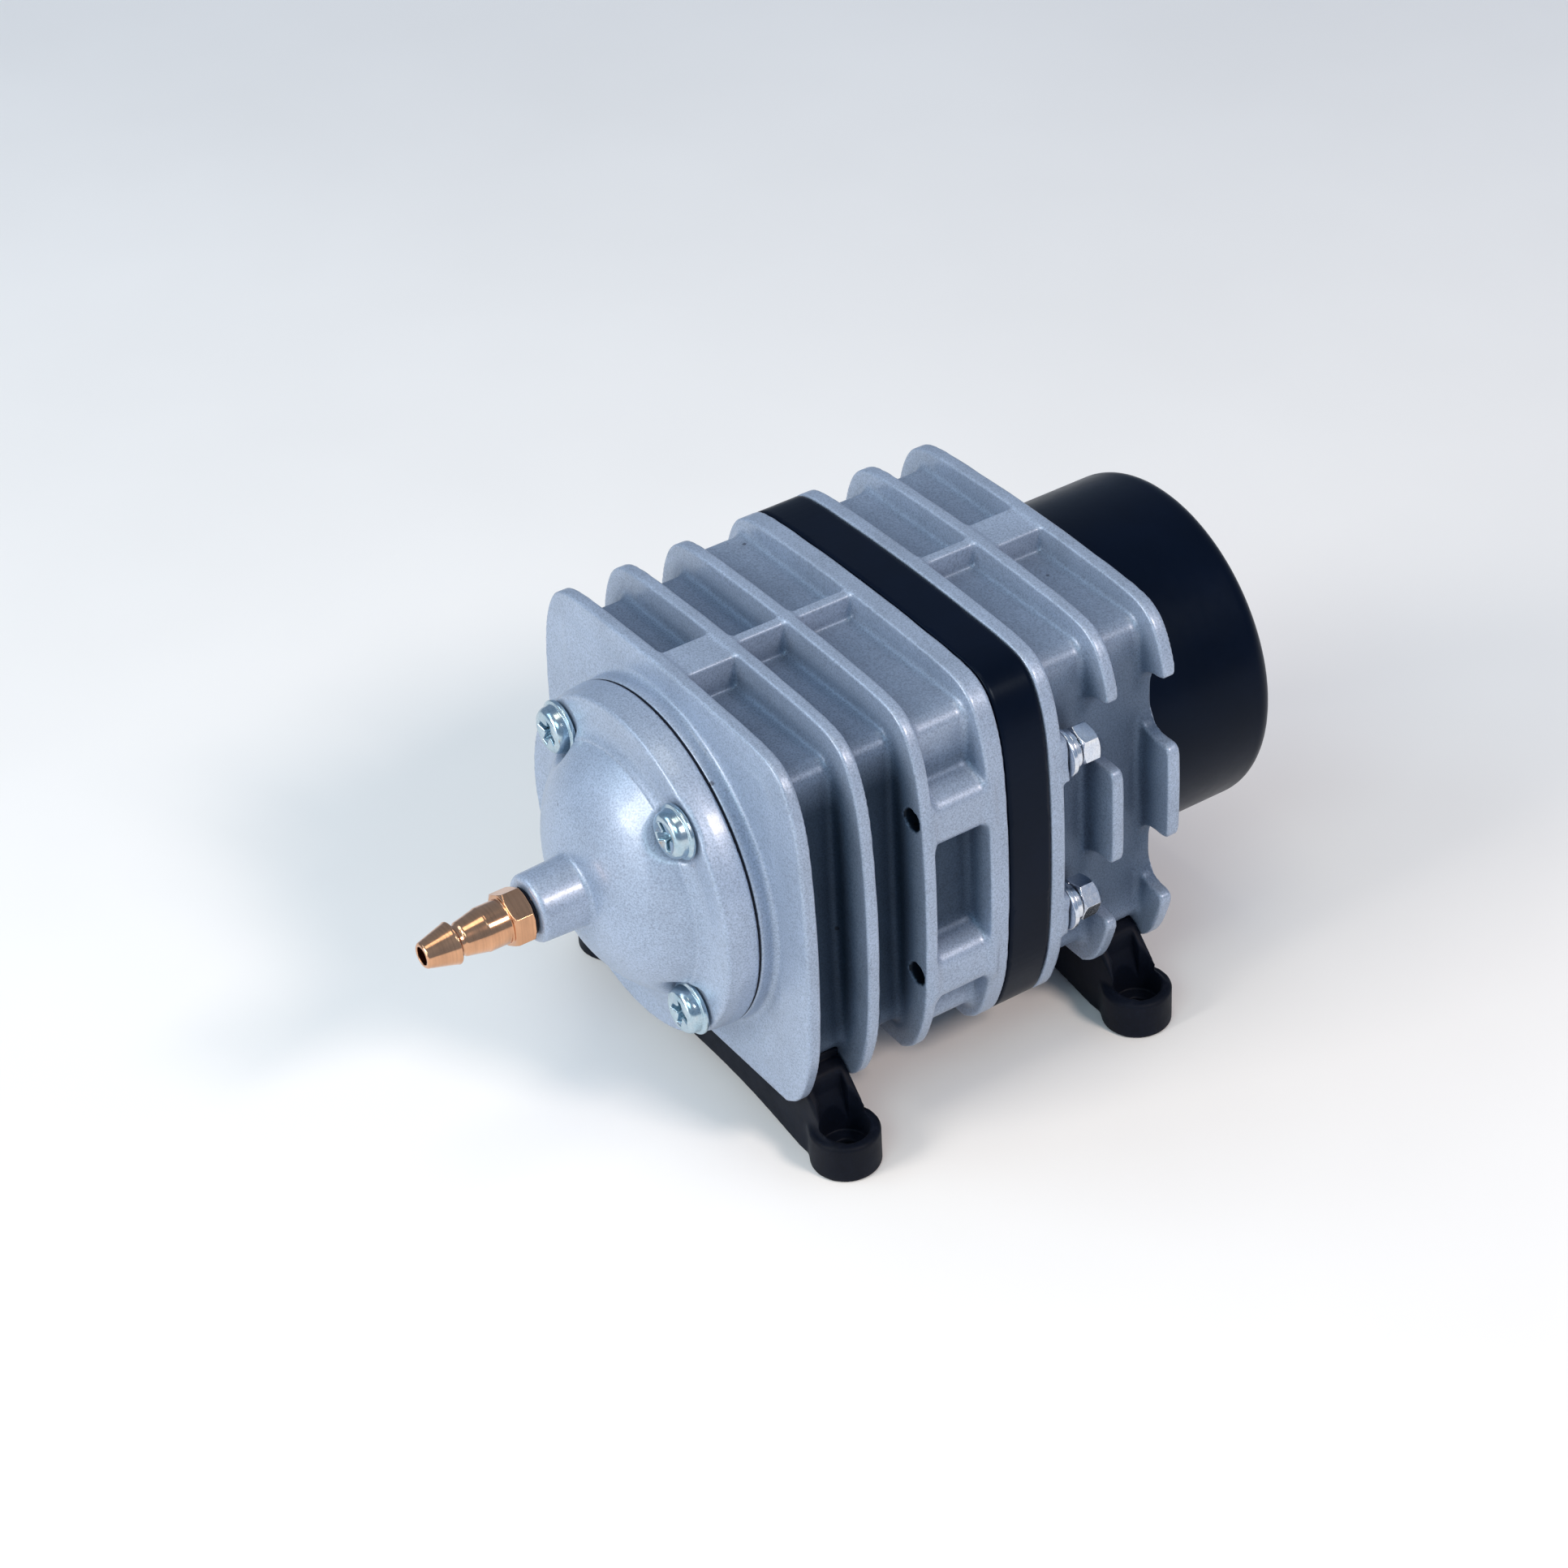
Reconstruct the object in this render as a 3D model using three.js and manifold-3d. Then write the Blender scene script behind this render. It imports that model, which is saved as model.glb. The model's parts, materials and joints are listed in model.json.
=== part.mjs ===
// An electromagnetic linear-piston air pump as a three.js scene graph, in millimetres, +Z up.
// Pump coordinates: the pump axis is the Y axis, the hose nozzle points to -Y, and y = 0 is the front
// face of the first cooling fin. The last group moves this onto a frame whose origin is on the ground.

import * as THREE from "three";
import { mergeVertices } from "three/addons/utils/BufferGeometryUtils.js";
import Module from "manifold-3d";

const wasm = await Module();
wasm.setup();

// ---------------------------------------------------------------- driving dimensions

const GAP = 0.3;                 // between pieces that touch on the real pump
const CUT = 1;                   // how far a cutter runs past the face it opens

const GROUND = -58;              // underside of the feet, below the pump axis
const NOZZLE_TIP = -59.8;
const CAP_END = 127.9;

// Front and rear face of each cooling fin and flange, along the pump axis
const FIN_1 = [0, 2.8];
const FIN_2 = [14.4, 17.2];
const FIN_3 = [28.8, 31.6];
const FLANGE_FRONT = [45.0, 49.5];
const FLANGE_REAR = [60.3, 63.7];
const FIN_4 = [75.9, 78.7];
const FIN_5 = [90.3, 93.3];

const PLATE_TOP = 44.3;          // fins: crown of the top edge, flat bottom edge, half width
const PLATE_BOTTOM = -43.4;
const PLATE_HALF = 48.4;
const PLATE_FOOT = 37.5;         // half width of the flat bottom edge

const BODY_HALF = 38;            // inner boxes between the fins: half width, half height
const BODY_HEIGHT = 36.5;
const FLANGE_BODY_HALF = 41;
const FLANGE_BODY_HEIGHT = 38.3;
const REAR_BODY_HALF = 38.5;
const REAR_BODY_HEIGHT = 38.3;
const BODY_CORNER = 6;

const CAVITY_HALF = 34;          // space for the magnet cores, through both housings and the spacer
const CAVITY_HEIGHT = 32.5;
const CAVITY_CORNER = 4;
const CAVITY_START = 35.7;
const CAVITY_END = 82;
const THROAT_HALF = 24;          // narrower space between the liner and the cores
const THROAT_HEIGHT = 27;
const THROAT_START = 22;

const WIDE_RIB = 10;             // ribs that join the fins along the top
const NARROW_RIB = 2.6;

const SEAT_R = 38;               // round seat of the cylinder head
const SEAT_FACE = -4.0;
const GASKET_FACE = -4.6;
const RECESS_R = 24.3;
const RECESS_END = 3.3;

const HEAD_SCREW = 22.3;         // cylinder head screws, both ways off the axis
const HEAD_SCREW_R = 2.4;
const PAD_FACE = -11.2;          // the flat ring round the dome that those screws pull down on
const PAD_R = 6.7;               // room for each screw head, cut into the foot of the dome
const SCREW_HEAD_R = 6;
const HEAD_SCREW_END = 9;

const BOLT_X = 44.2;             // tie bolts through the two flanges
const BOLT_Z = 19.5;
const BOLT_R = 2.2;
const BOLT_END = 36;             // the bolts stop short of their tapped holes' open front ends
const BOLT_SEAT = 1.3;           // raised seat under each tie bolt's washers
const BOLT_SEAT_R = 5.9;
const BOLT_TURNS = [17, -10, 8, 23];   // each bolt head's turn about its own axis, degrees
const WASHER_HOLE_R = 2.6;
const NOTCH_R = 8;               // room for the socket round each tie bolt head

const LINER_R = 19;              // cylinder liner: bore and outside
const LINER_OUT = 21;
const LINER_END = 28;
const PISTON_R = 18.6;
const PISTON_FACE = 10;
const PISTON_END = 20;
const ROD_R = 3;
const ROD_END = 86;

const CORE = [36, 66];           // magnet cores along the axis
const POLE_FACE = 12.5;
const CORE_BACK = [24.5, 31.2];
const CORE_HEIGHT = 12;
const POLE = 6;                  // each pole and each winding slot
const CORE_SCREW_X = 27.9;
const CORE_SCREW_Z = 8;
const CORE_SCREW_HOLE_R = 2.3;

const ARMATURE = [41, 61];
const ARMATURE_HALF = 11.2;

const CAP_R = 37.4;
const CAP_WALL = 2.2;
const CAP_START = FIN_5[1] + GAP;
const CAP_EDGE = 4;
const CAP_RECESS = 3.2;          // depth of the recess for the cap's screw
const SPIGOT_R = 34.9;           // ring that the cap fits over
const SPIGOT_WALL = 2.4;
const SPIGOT_END = 98;
const POST_R = 5;
const POST_END = 118;
const INTAKE_HOLE_R = 5;
const INTAKE_PITCH_R = 20;

const FOOT_Y = [8.6, 84.5];      // centre line of each foot, in the gap between two fins
const FOOT_HALF_DEPTH = 5.5;
const EAR_X = 45.5;
const EAR_R = 7.5;
const EAR_TOP = -49;
const EAR_FLOOR = -54.5;
const EAR_HOLE_R = 2.3;
const FOOT_SCREW_X = 22;
const FOOT_SCREW_HOLE_R = 2.3;

const GLAND_Y = 69.8;

// ---------------------------------------------------------------- materials

function material(color, roughness, metalness) {
  return new THREE.MeshStandardMaterial({ color, roughness, metalness, flatShading: true });
}

const castPaint = material(0x9dadc4, 0.55, 0.45);
const blackPlastic = material(0x0b1220, 0.35, 0.0);
const blackRubber = material(0x0d1422, 0.75, 0.0);
const brass = material(0xc08a5a, 0.25, 1.0);
const zinc = material(0xb9c6cf, 0.3, 1.0);
const steel = material(0x9a9ea3, 0.3, 1.0);
const springSteel = material(0x84878c, 0.35, 1.0);
const aluminium = material(0xc4c8cc, 0.35, 1.0);
const bronze = material(0x9c6b3a, 0.45, 1.0);
const lamination = material(0x6d7178, 0.5, 0.9);
const copper = material(0xa8552c, 0.35, 1.0);
const bobbinPlastic = material(0xd8d4c4, 0.6, 0.0);
const ptfe = material(0xe8e6dc, 0.5, 0.0);
const siliconeRubber = material(0x9c3a2c, 0.7, 0.0);
const felt = material(0xd9d7cf, 0.95, 0.0);

// ---------------------------------------------------------------- solids and geometries

// Welds a geometry, drops its collapsed triangles and turns it outwards, as a manifold solid.
function solid(geometry) {
  const bare = geometry.clone();
  bare.deleteAttribute("normal");
  bare.deleteAttribute("uv");
  const welded = mergeVertices(bare, 1e-4);
  const position = welded.attributes.position.array;
  const index = welded.index.array;
  const corner = (i) => new THREE.Vector3().fromArray(position, 3 * i);
  const triangles = [];
  let volume = 0;
  for (let i = 0; i < index.length; i += 3) {
    const [a, b, c] = [index[i], index[i + 1], index[i + 2]];
    if (a === b || b === c || c === a) continue;
    triangles.push([a, b, c]);
    volume += corner(a).dot(corner(b).cross(corner(c)));
  }
  const outward = volume < 0 ? triangles.map(([a, b, c]) => [a, c, b]) : triangles;
  return new wasm.Manifold(new wasm.Mesh({
    numProp: 3,
    vertProperties: new Float32Array(position),
    triVerts: new Uint32Array(outward.flat()),
  }));
}

function geometryOf(manifold) {
  const mesh = manifold.getMesh();
  const geometry = new THREE.BufferGeometry();
  geometry.setAttribute("position", new THREE.BufferAttribute(mesh.vertProperties, 3));
  geometry.setIndex(new THREE.BufferAttribute(mesh.triVerts, 1));
  geometry.computeVertexNormals();
  return geometry;
}

function join(...pieces) {
  return pieces.reduce((whole, piece) => whole.add(piece));
}

function cut(body, ...tools) {
  return tools.reduce((rest, tool) => rest.subtract(tool), body);
}

function at(geometry, x, y, z) {
  return geometry.translate(x, y, z);
}

// A box between two corners.
function block([x0, y0, z0], [x1, y1, z1]) {
  const box = new THREE.BoxGeometry(x1 - x0, y1 - y0, z1 - z0);
  return solid(at(box, (x0 + x1) / 2, (y0 + y1) / 2, (z0 + z1) / 2));
}

// A round bar along the pump axis, centred on x, z.
function bar(radius, y0, y1, x = 0, z = 0, sides = 24) {
  return solid(at(new THREE.CylinderGeometry(radius, radius, y1 - y0, sides), x, (y0 + y1) / 2, z));
}

// A round bar along Z, centred on x, y.
function upright(radius, z0, z1, x, y, sides = 24) {
  const cylinder = new THREE.CylinderGeometry(radius, radius, z1 - z0, sides).rotateX(Math.PI / 2);
  return solid(at(cylinder, x, y, (z0 + z1) / 2));
}

// A solid of revolution about the pump axis from [radius, y] points. A profile that doesn't start and
// end on the axis is closed on itself.
function turned(profile, sides = 24) {
  const points = profile.map(([radius, y]) => new THREE.Vector2(radius, y));
  const onAxis = profile[0][0] === 0 && profile.at(-1)[0] === 0;
  if (!onAxis) points.push(points[0].clone());
  return solid(new THREE.LatheGeometry(points, sides));
}

// The [radius, y] profile of a plain ring.
function ringProfile(inner, outer, y0, y1) {
  return [[inner, y0], [outer, y0], [outer, y1], [inner, y1]];
}

// Points on an arc in the [radius, y] plane, angles in degrees.
function arc(centreR, centreY, radius, from, to, steps) {
  return Array.from({ length: steps + 1 }, (_, i) => {
    const angle = THREE.MathUtils.degToRad(from + (to - from) * i / steps);
    return [centreR + radius * Math.cos(angle), centreY + radius * Math.sin(angle)];
  });
}

// A shape drawn in X (across) and Z (up), run along the pump axis from y0 to y1.
function runAlongY(shape, y0, y1, edge = 0, curveSegments = 4) {
  const geometry = new THREE.ExtrudeGeometry(shape, {
    depth: y1 - y0 - 2 * edge,
    bevelEnabled: edge > 0,
    bevelThickness: edge,
    bevelSize: edge,
    bevelOffset: -edge,
    bevelSegments: 1,
    curveSegments,
  });
  return solid(at(geometry.rotateX(Math.PI / 2), 0, y1 - edge, 0));
}

function roundedRect(halfWidth, halfHeight, radius) {
  const [w, h, r] = [halfWidth, halfHeight, radius];
  const shape = new THREE.Shape();
  shape.moveTo(w, -h + r);
  shape.lineTo(w, h - r);
  shape.absarc(w - r, h - r, r, 0, Math.PI / 2);
  shape.lineTo(-w + r, h);
  shape.absarc(-w + r, h - r, r, Math.PI / 2, Math.PI);
  shape.lineTo(-w, -h + r);
  shape.absarc(-w + r, -h + r, r, Math.PI, 1.5 * Math.PI);
  shape.lineTo(w - r, -h);
  shape.absarc(w - r, -h + r, r, 1.5 * Math.PI, 2 * Math.PI);
  return shape;
}

function hexagon(acrossFlats) {
  const shape = new THREE.Shape();
  for (let i = 0; i < 6; i += 1) {
    const angle = (i + 0.5) * Math.PI / 3;
    const radius = acrossFlats / 2 / Math.cos(Math.PI / 6);
    const [x, z] = [radius * Math.cos(angle), radius * Math.sin(angle)];
    if (i === 0) shape.moveTo(x, z);
    else shape.lineTo(x, z);
  }
  shape.closePath();
  return shape;
}

class Helix extends THREE.Curve {
  constructor(radius, y0, y1, turns) {
    super();
    Object.assign(this, { radius, y0, y1, turns });
  }

  getPoint(t, target = new THREE.Vector3()) {
    const angle = 2 * Math.PI * this.turns * t;
    const y = this.y0 + (this.y1 - this.y0) * t;
    return target.set(this.radius * Math.cos(angle), y, this.radius * Math.sin(angle));
  }
}

function coilSpring(radius, wire, y0, y1, turns) {
  const section = new THREE.Shape();
  section.absarc(0, 0, wire / 2, 0, 2 * Math.PI);
  const geometry = new THREE.ExtrudeGeometry(section, {
    steps: turns * 9,
    extrudePath: new Helix(radius, y0 + wire / 2, y1 - wire / 2, turns),
    curveSegments: 3,
  });
  return solid(geometry);
}

// Calls make(x, z) for the four points [±x, ±z], and returns the four results.
function atFour(x, z, make) {
  return [[-x, z], [x, z], [-x, -z], [x, -z]].map(([px, pz]) => make(px, pz));
}

const pump = new THREE.Group();

function add(name, manifold, look) {
  const mesh = new THREE.Mesh(geometryOf(manifold), look);
  mesh.name = name;
  pump.add(mesh);
}

// ---------------------------------------------------------------- fins and flanges

// The fins' outline: a flat bottom, slightly bowed sides and a crowned top with rounded corners.
function plateShape() {
  const right = [
    [41.4, -40.6], [44.3, -35.4], [46.9, -26.5], [48.1, -13], [PLATE_HALF, 1],
    [48.0, 15], [46.8, 27.5], [44.2, 36], [40.4, 41], [34, 43.1], [18, 43.95],
  ];
  const left = right.map(([x, z]) => [-x, z]).reverse();
  const shape = new THREE.Shape();
  shape.moveTo(-PLATE_FOOT, PLATE_BOTTOM);
  shape.lineTo(PLATE_FOOT, PLATE_BOTTOM);
  const round = [...right, [0, PLATE_TOP], ...left, [-PLATE_FOOT, PLATE_BOTTOM]];
  shape.splineThru(round.map(([x, z]) => new THREE.Vector2(x, z)));
  return shape;
}

function plate([y0, y1]) {
  return runAlongY(plateShape(), y0, y1, 0, 1);
}

function innerBox(halfWidth, halfHeight, y0, y1) {
  return runAlongY(roundedRect(halfWidth, halfHeight, BODY_CORNER), y0, y1, 0, 2);
}

function cavity(y0, y1) {
  return runAlongY(roundedRect(CAVITY_HALF, CAVITY_HEIGHT, CAVITY_CORNER), y0, y1, 0, 2);
}

function throat() {
  const opening = roundedRect(THROAT_HALF, THROAT_HEIGHT, CAVITY_CORNER);
  return runAlongY(opening, THROAT_START, CAVITY_START + CUT, 0, 2);
}

function topRib(width, y0, y1) {
  return block([-width / 2, y0, BODY_HEIGHT - 2], [width / 2, y1, PLATE_TOP - 0.35]);
}

function bottomRib(width, y0, y1) {
  return block([-width / 2, y0, PLATE_BOTTOM + 0.35], [width / 2, y1, -BODY_HEIGHT + 2]);
}

// A bolt boss on the +X side: flat underneath, upright outside, its top falling away outwards.
function boltBoss(z, reach) {
  const shape = new THREE.Shape();
  const underside = z - 7.2;
  shape.moveTo(BODY_HALF - 2, underside);
  shape.lineTo(reach, underside);
  shape.lineTo(reach, z + 0.6);
  shape.quadraticCurveTo(reach, z + 2.8, reach - 1.8, z + 3.8);
  shape.lineTo(BODY_HALF + 1, z + 7);
  shape.lineTo(BODY_HALF - 2, z + 7);
  return shape;
}

function boltBosses() {
  const bosses = [];
  for (const [z, reach] of [[BOLT_Z, 47.8], [-BOLT_Z, 47.5]]) {
    const right = runAlongY(boltBoss(z, reach), FIN_3[1] - CUT, FLANGE_FRONT[0] + CUT);
    bosses.push(right, right.mirror([1, 0, 0]));
  }
  return bosses;
}

function boltHoles(y0, y1) {
  return atFour(BOLT_X, BOLT_Z, (x, z) => bar(BOLT_R + GAP, y0, y1, x, z, 12));
}

function footScrewHoles(y) {
  return [-FOOT_SCREW_X, FOOT_SCREW_X].map((x) => upright(FOOT_SCREW_HOLE_R, GROUND, -29, x, y, 12));
}

// ---------------------------------------------------------------- front housing

function frontHousing() {
  const middle = (FIN_3[0] + FIN_3[1]) / 2;
  const body = join(
    plate(FIN_1),
    plate(FIN_2),
    plate(FIN_3),
    plate(FLANGE_FRONT),
    innerBox(BODY_HALF, BODY_HEIGHT, FIN_1[0] + 1, middle),
    innerBox(FLANGE_BODY_HALF, FLANGE_BODY_HEIGHT, middle, FLANGE_FRONT[1] - 1),
    turned([[0, SEAT_FACE], [SEAT_R, SEAT_FACE], [SEAT_R, -0.8], [SEAT_R + 0.8, 0],
      [SEAT_R + 0.8, 1], [0, 1]], 32),
    topRib(WIDE_RIB, FIN_1[0] + 1, FIN_2[0] + 1),
    topRib(NARROW_RIB, FIN_2[0] + 1, FLANGE_FRONT[0] + 1),
    bottomRib(NARROW_RIB, FIN_2[0] + 1, FLANGE_FRONT[0] + 1),
    ...boltBosses(),
  );
  return cut(
    body,
    bar(RECESS_R, SEAT_FACE - CUT, RECESS_END, 0, 0, 28),
    bar(LINER_OUT + GAP, 0, THROAT_START + CUT, 0, 0, 28),
    throat(),
    cavity(CAVITY_START, FLANGE_FRONT[1] + CUT),
    ...atFour(HEAD_SCREW, HEAD_SCREW, (x, z) => bar(HEAD_SCREW_R + GAP, SEAT_FACE - CUT, 11, x, z, 12)),
    ...boltHoles(FIN_3[0] - CUT, FLANGE_FRONT[1] + CUT),
    ...atFour(CORE_SCREW_X, CORE_SCREW_Z,
      (x, z) => bar(CORE_SCREW_HOLE_R, 23, CAVITY_START + CUT, x, z, 12)),
    ...footScrewHoles(FOOT_Y[0]),
  );
}

// ---------------------------------------------------------------- spacer and rear housing

function spacer() {
  const frame = plate([FLANGE_FRONT[1] + GAP, FLANGE_REAR[0] - GAP]);
  return cut(
    frame,
    cavity(FLANGE_FRONT[1] - CUT, FLANGE_REAR[0] + CUT),
    ...boltHoles(FLANGE_FRONT[1] - CUT, FLANGE_REAR[0] + CUT),
  );
}

// The two rear fins are cut away round the tie bolts so that a socket reaches the bolt heads.
function notchedFins() {
  const fins = join(plate(FIN_4), plate(FIN_5));
  const notches = atFour(BOLT_X, BOLT_Z, (x, z) => join(
    bar(NOTCH_R, FIN_4[0] - CUT, FIN_5[1] + CUT, x, z, 20),
    block([Math.min(x, 2 * x), FIN_4[0] - CUT, z - NOTCH_R + 0.6],
      [Math.max(x, 2 * x), FIN_5[1] + CUT, z + NOTCH_R - 0.6]),
  ));
  return cut(fins, ...notches);
}

function rearHousing() {
  const seatSpan = [FLANGE_REAR[1] - CUT, FLANGE_REAR[1] + BOLT_SEAT];
  const boltSeats = join(...atFour(BOLT_X, BOLT_Z, (x, z) => bar(BOLT_SEAT_R, ...seatSpan, x, z, 20)))
    .intersect(plate(seatSpan));
  const body = join(
    plate(FLANGE_REAR),
    notchedFins(),
    innerBox(REAR_BODY_HALF, REAR_BODY_HEIGHT, FLANGE_REAR[0] + 1, FIN_5[1] - 0.2),
    topRib(NARROW_RIB, FLANGE_REAR[0] + 1, FIN_4[0] + 1),
    topRib(WIDE_RIB, FIN_4[0] + 1, FIN_5[0] + 1),
    bottomRib(NARROW_RIB, FLANGE_REAR[0] + 1, FIN_4[0] + 1),
    turned(ringProfile(SPIGOT_R - SPIGOT_WALL, SPIGOT_R, FIN_5[1] - 2, SPIGOT_END), 32),
    bar(POST_R, FIN_5[1] - 2, POST_END),
    boltSeats,
  );
  return cut(
    body,
    cavity(FLANGE_REAR[0] - CUT, CAVITY_END),
    bar(6.3, CAVITY_END - CUT, 90.3),
    bar(ROD_R + 1, 90, 92),
    bar(2.3, 104, POST_END + CUT, 0, 0, 16),
    ...atFour(INTAKE_PITCH_R * Math.SQRT1_2, INTAKE_PITCH_R * Math.SQRT1_2,
      (x, z) => bar(INTAKE_HOLE_R, CAVITY_END - CUT, FIN_5[1] + CUT, x, z, 16)),
    ...boltHoles(FLANGE_REAR[0] - CUT, FLANGE_REAR[1] + 2),
    solid(at(new THREE.CylinderGeometry(5, 5, 8, 20).rotateZ(Math.PI / 2), -36, GLAND_Y, 0)),
    ...footScrewHoles(FOOT_Y[1]),
  );
}

// ---------------------------------------------------------------- cylinder head

// Outside of the cylinder head, from its seat over the rounded rim and the dome to the end of the boss.
const headOutside = [
  [SEAT_R, GASKET_FACE],
  [37.7, -8],
  [37.1, -10.4],
  [36.4, PAD_FACE],
  [29.2, PAD_FACE],
  [26.6, -14.1],
  [23, -17.8],
  [19, -20.6],
  [15, -22.6],
  [11, -23.9],
  [8.6, -24.3],
  [7.7, -25.2],
  [7.4, -34.4],
  [6.4, -35.4],
];
const headInside = [
  [4.2, -35.4],
  [4.2, -25.5],
  [2.4, -24],
  [2.4, -15],
  [8.2, -15],
  [8.2, -18.5],
  [13, -18.5],
  [18, -14.5],
  [21, -10],
  [21, GASKET_FACE],
];

function cylinderHead() {
  return cut(
    turned([...headOutside, ...headInside], 32),
    ...atFour(HEAD_SCREW, HEAD_SCREW, (x, z) => bar(PAD_R, -26, PAD_FACE, x, z, 20)),
    ...atFour(HEAD_SCREW, HEAD_SCREW, (x, z) => bar(HEAD_SCREW_R + GAP, PAD_FACE - CUT, 0, x, z, 12)),
  );
}

function headGasket() {
  return cut(
    turned(ringProfile(RECESS_R, SEAT_R - 1, GASKET_FACE + 0.1, SEAT_FACE - 0.1), 32),
    ...atFour(HEAD_SCREW, HEAD_SCREW, (x, z) => bar(HEAD_SCREW_R + GAP, -8, 0, x, z, 12)),
  );
}

// A pan-head screw along the pump axis with its head towards -Y, with a cross recess where it shows.
function panScrew(radius, headRadius, headFace, headSeat, end, recessed = false) {
  const rise = headSeat - headFace;
  const screw = turned([
    [0, headFace],
    [headRadius * 0.55, headFace + rise * 0.08],
    [headRadius * 0.88, headFace + rise * 0.35],
    [headRadius, headFace + rise * 0.7],
    [headRadius, headSeat],
    [radius, headSeat],
    [radius, end - 1],
    [radius - 0.8, end],
    [0, end],
  ], recessed ? 20 : 12);
  if (!recessed) return screw;
  const slot = headRadius * 0.5;
  const width = headRadius * 0.13;
  const floor = headFace + rise * 0.6;
  const recess = join(
    block([-slot, headFace - CUT, -width], [slot, floor, width]),
    block([-width, headFace - CUT, -slot], [width, floor, slot]),
  );
  return cut(screw, recess);
}

// ---------------------------------------------------------------- nozzle

function nozzle() {
  const barb = turned([
    [2.0, NOZZLE_TIP],
    [2.6, NOZZLE_TIP],
    [2.8, NOZZLE_TIP + 0.3],
    [4.6, -53.1],
    [4.6, -52.5],
    [3.3, -52.1],
    [3.3, -51.3],
    [3.7, -50.8],
    [4.6, -46.3],
    [4.75, -45.8],
    [4.75, -40],
    [3.9, -37],
    [3.9, -26],
    [2.0, -26],
  ], 24);
  const nut = runAlongY(hexagon(11), -41.2, -36.4, 0.5);
  return cut(join(barb, nut), bar(2.0, NOZZLE_TIP - CUT, -25, 0, 0, 24));
}

function nozzleSeal() {
  return turned(ringProfile(4.3, 5.2, -36.2, -35.6), 20);
}

// ---------------------------------------------------------------- tie bolts

function tieBolt(x, z, turn) {
  const head = runAlongY(hexagon(8), 68.6, 72.8, 0.4).rotate([0, turn, 0]);
  return join(head, bar(BOLT_R, BOLT_END, 69, 0, 0, 12)).translate([x, 0, z]);
}

function washer(inner, outer, y0, y1, x, z) {
  return turned(ringProfile(inner, outer, y0, y1), 20).translate([x, 0, z]);
}

// A split spring washer: a ring with a narrow slanting gap.
function springWasher(x, z) {
  const gap = solid(at(new THREE.BoxGeometry(3, 5, 0.8).rotateX(0.5), 4, 67.5, 0));
  return cut(turned(ringProfile(WASHER_HOLE_R, 4.3, 66.7, 68.3), 16), gap).translate([x, 0, z]);
}

// ---------------------------------------------------------------- rear cap and intake

function rearCap() {
  const inner = CAP_R - CAP_WALL;
  const shell = turned([
    [inner, CAP_START],
    [CAP_R, CAP_START],
    [CAP_R, CAP_END - CAP_EDGE],
    ...arc(CAP_R - CAP_EDGE, CAP_END - CAP_EDGE, CAP_EDGE, 22.5, 90, 3),
    [7, CAP_END],
    [5.4, CAP_END - CAP_RECESS],
    [2.5, CAP_END - CAP_RECESS],
    [2.5, POST_END + GAP],
    [7, POST_END + GAP],
    [7, CAP_END - CAP_WALL - 2.4],
    [inner - 3, CAP_END - CAP_WALL],
    [inner, CAP_END - CAP_WALL - 3],
  ], 32);
  const slots = Array.from({ length: 8 }, (_, i) => {
    const slot = new THREE.BoxGeometry(11, 12, 2.6);
    return solid(at(slot, 22, CAP_END, 0).rotateY((i + 0.5) * Math.PI / 4));
  });
  return cut(shell, ...slots);
}

function capScrew() {
  const screw = panScrew(2, 3.8, -2.4, 0, 17, true);
  return screw.mirror([0, 1, 0]).translate([0, CAP_END - CAP_RECESS + GAP, 0]);
}

function feltFilter() {
  return turned(ringProfile(POST_R + 1, 31, 101, 107));
}

// ---------------------------------------------------------------- feet

// Front view of a foot on the +X side, seen along the pump axis, mirrored to the other side.
function footShape() {
  const top = -REAR_BODY_HEIGHT - GAP;
  const half = [
    [36.5, top], [38.5, top - 0.9], [47, EAR_TOP + 0.6], [49.5, EAR_TOP], [49.5, GROUND], [36, GROUND],
  ];
  const shape = new THREE.Shape();
  shape.moveTo(-half[0][0], top);
  half.forEach(([x, z]) => shape.lineTo(x, z));
  shape.quadraticCurveTo(18, GROUND + 3.4, 0, GROUND + 3.6);
  shape.quadraticCurveTo(-18, GROUND + 3.4, -36, GROUND);
  half.slice(1, -1).reverse().forEach(([x, z]) => shape.lineTo(-x, z));
  return shape;
}

// The open channel in the top of an ear, rising with the arm.
function earChannel(side, y) {
  const half = FOOT_HALF_DEPTH - 1.9;
  const shape = new THREE.Shape();
  shape.moveTo(EAR_X, EAR_FLOOR);
  shape.lineTo(EAR_X, -30);
  shape.lineTo(39.2, -30);
  shape.lineTo(39.2, -44);
  shape.lineTo(42.4, EAR_FLOOR);
  const channel = runAlongY(shape, y - half, y + half);
  const well = upright(EAR_R - 2.2, EAR_FLOOR, EAR_TOP + 5, EAR_X, y, 20);
  const hole = upright(EAR_HOLE_R, GROUND - CUT, EAR_FLOOR + CUT, EAR_X, y, 12);
  const right = join(channel, well, hole);
  return side > 0 ? right : right.mirror([1, 0, 0]);
}

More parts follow.
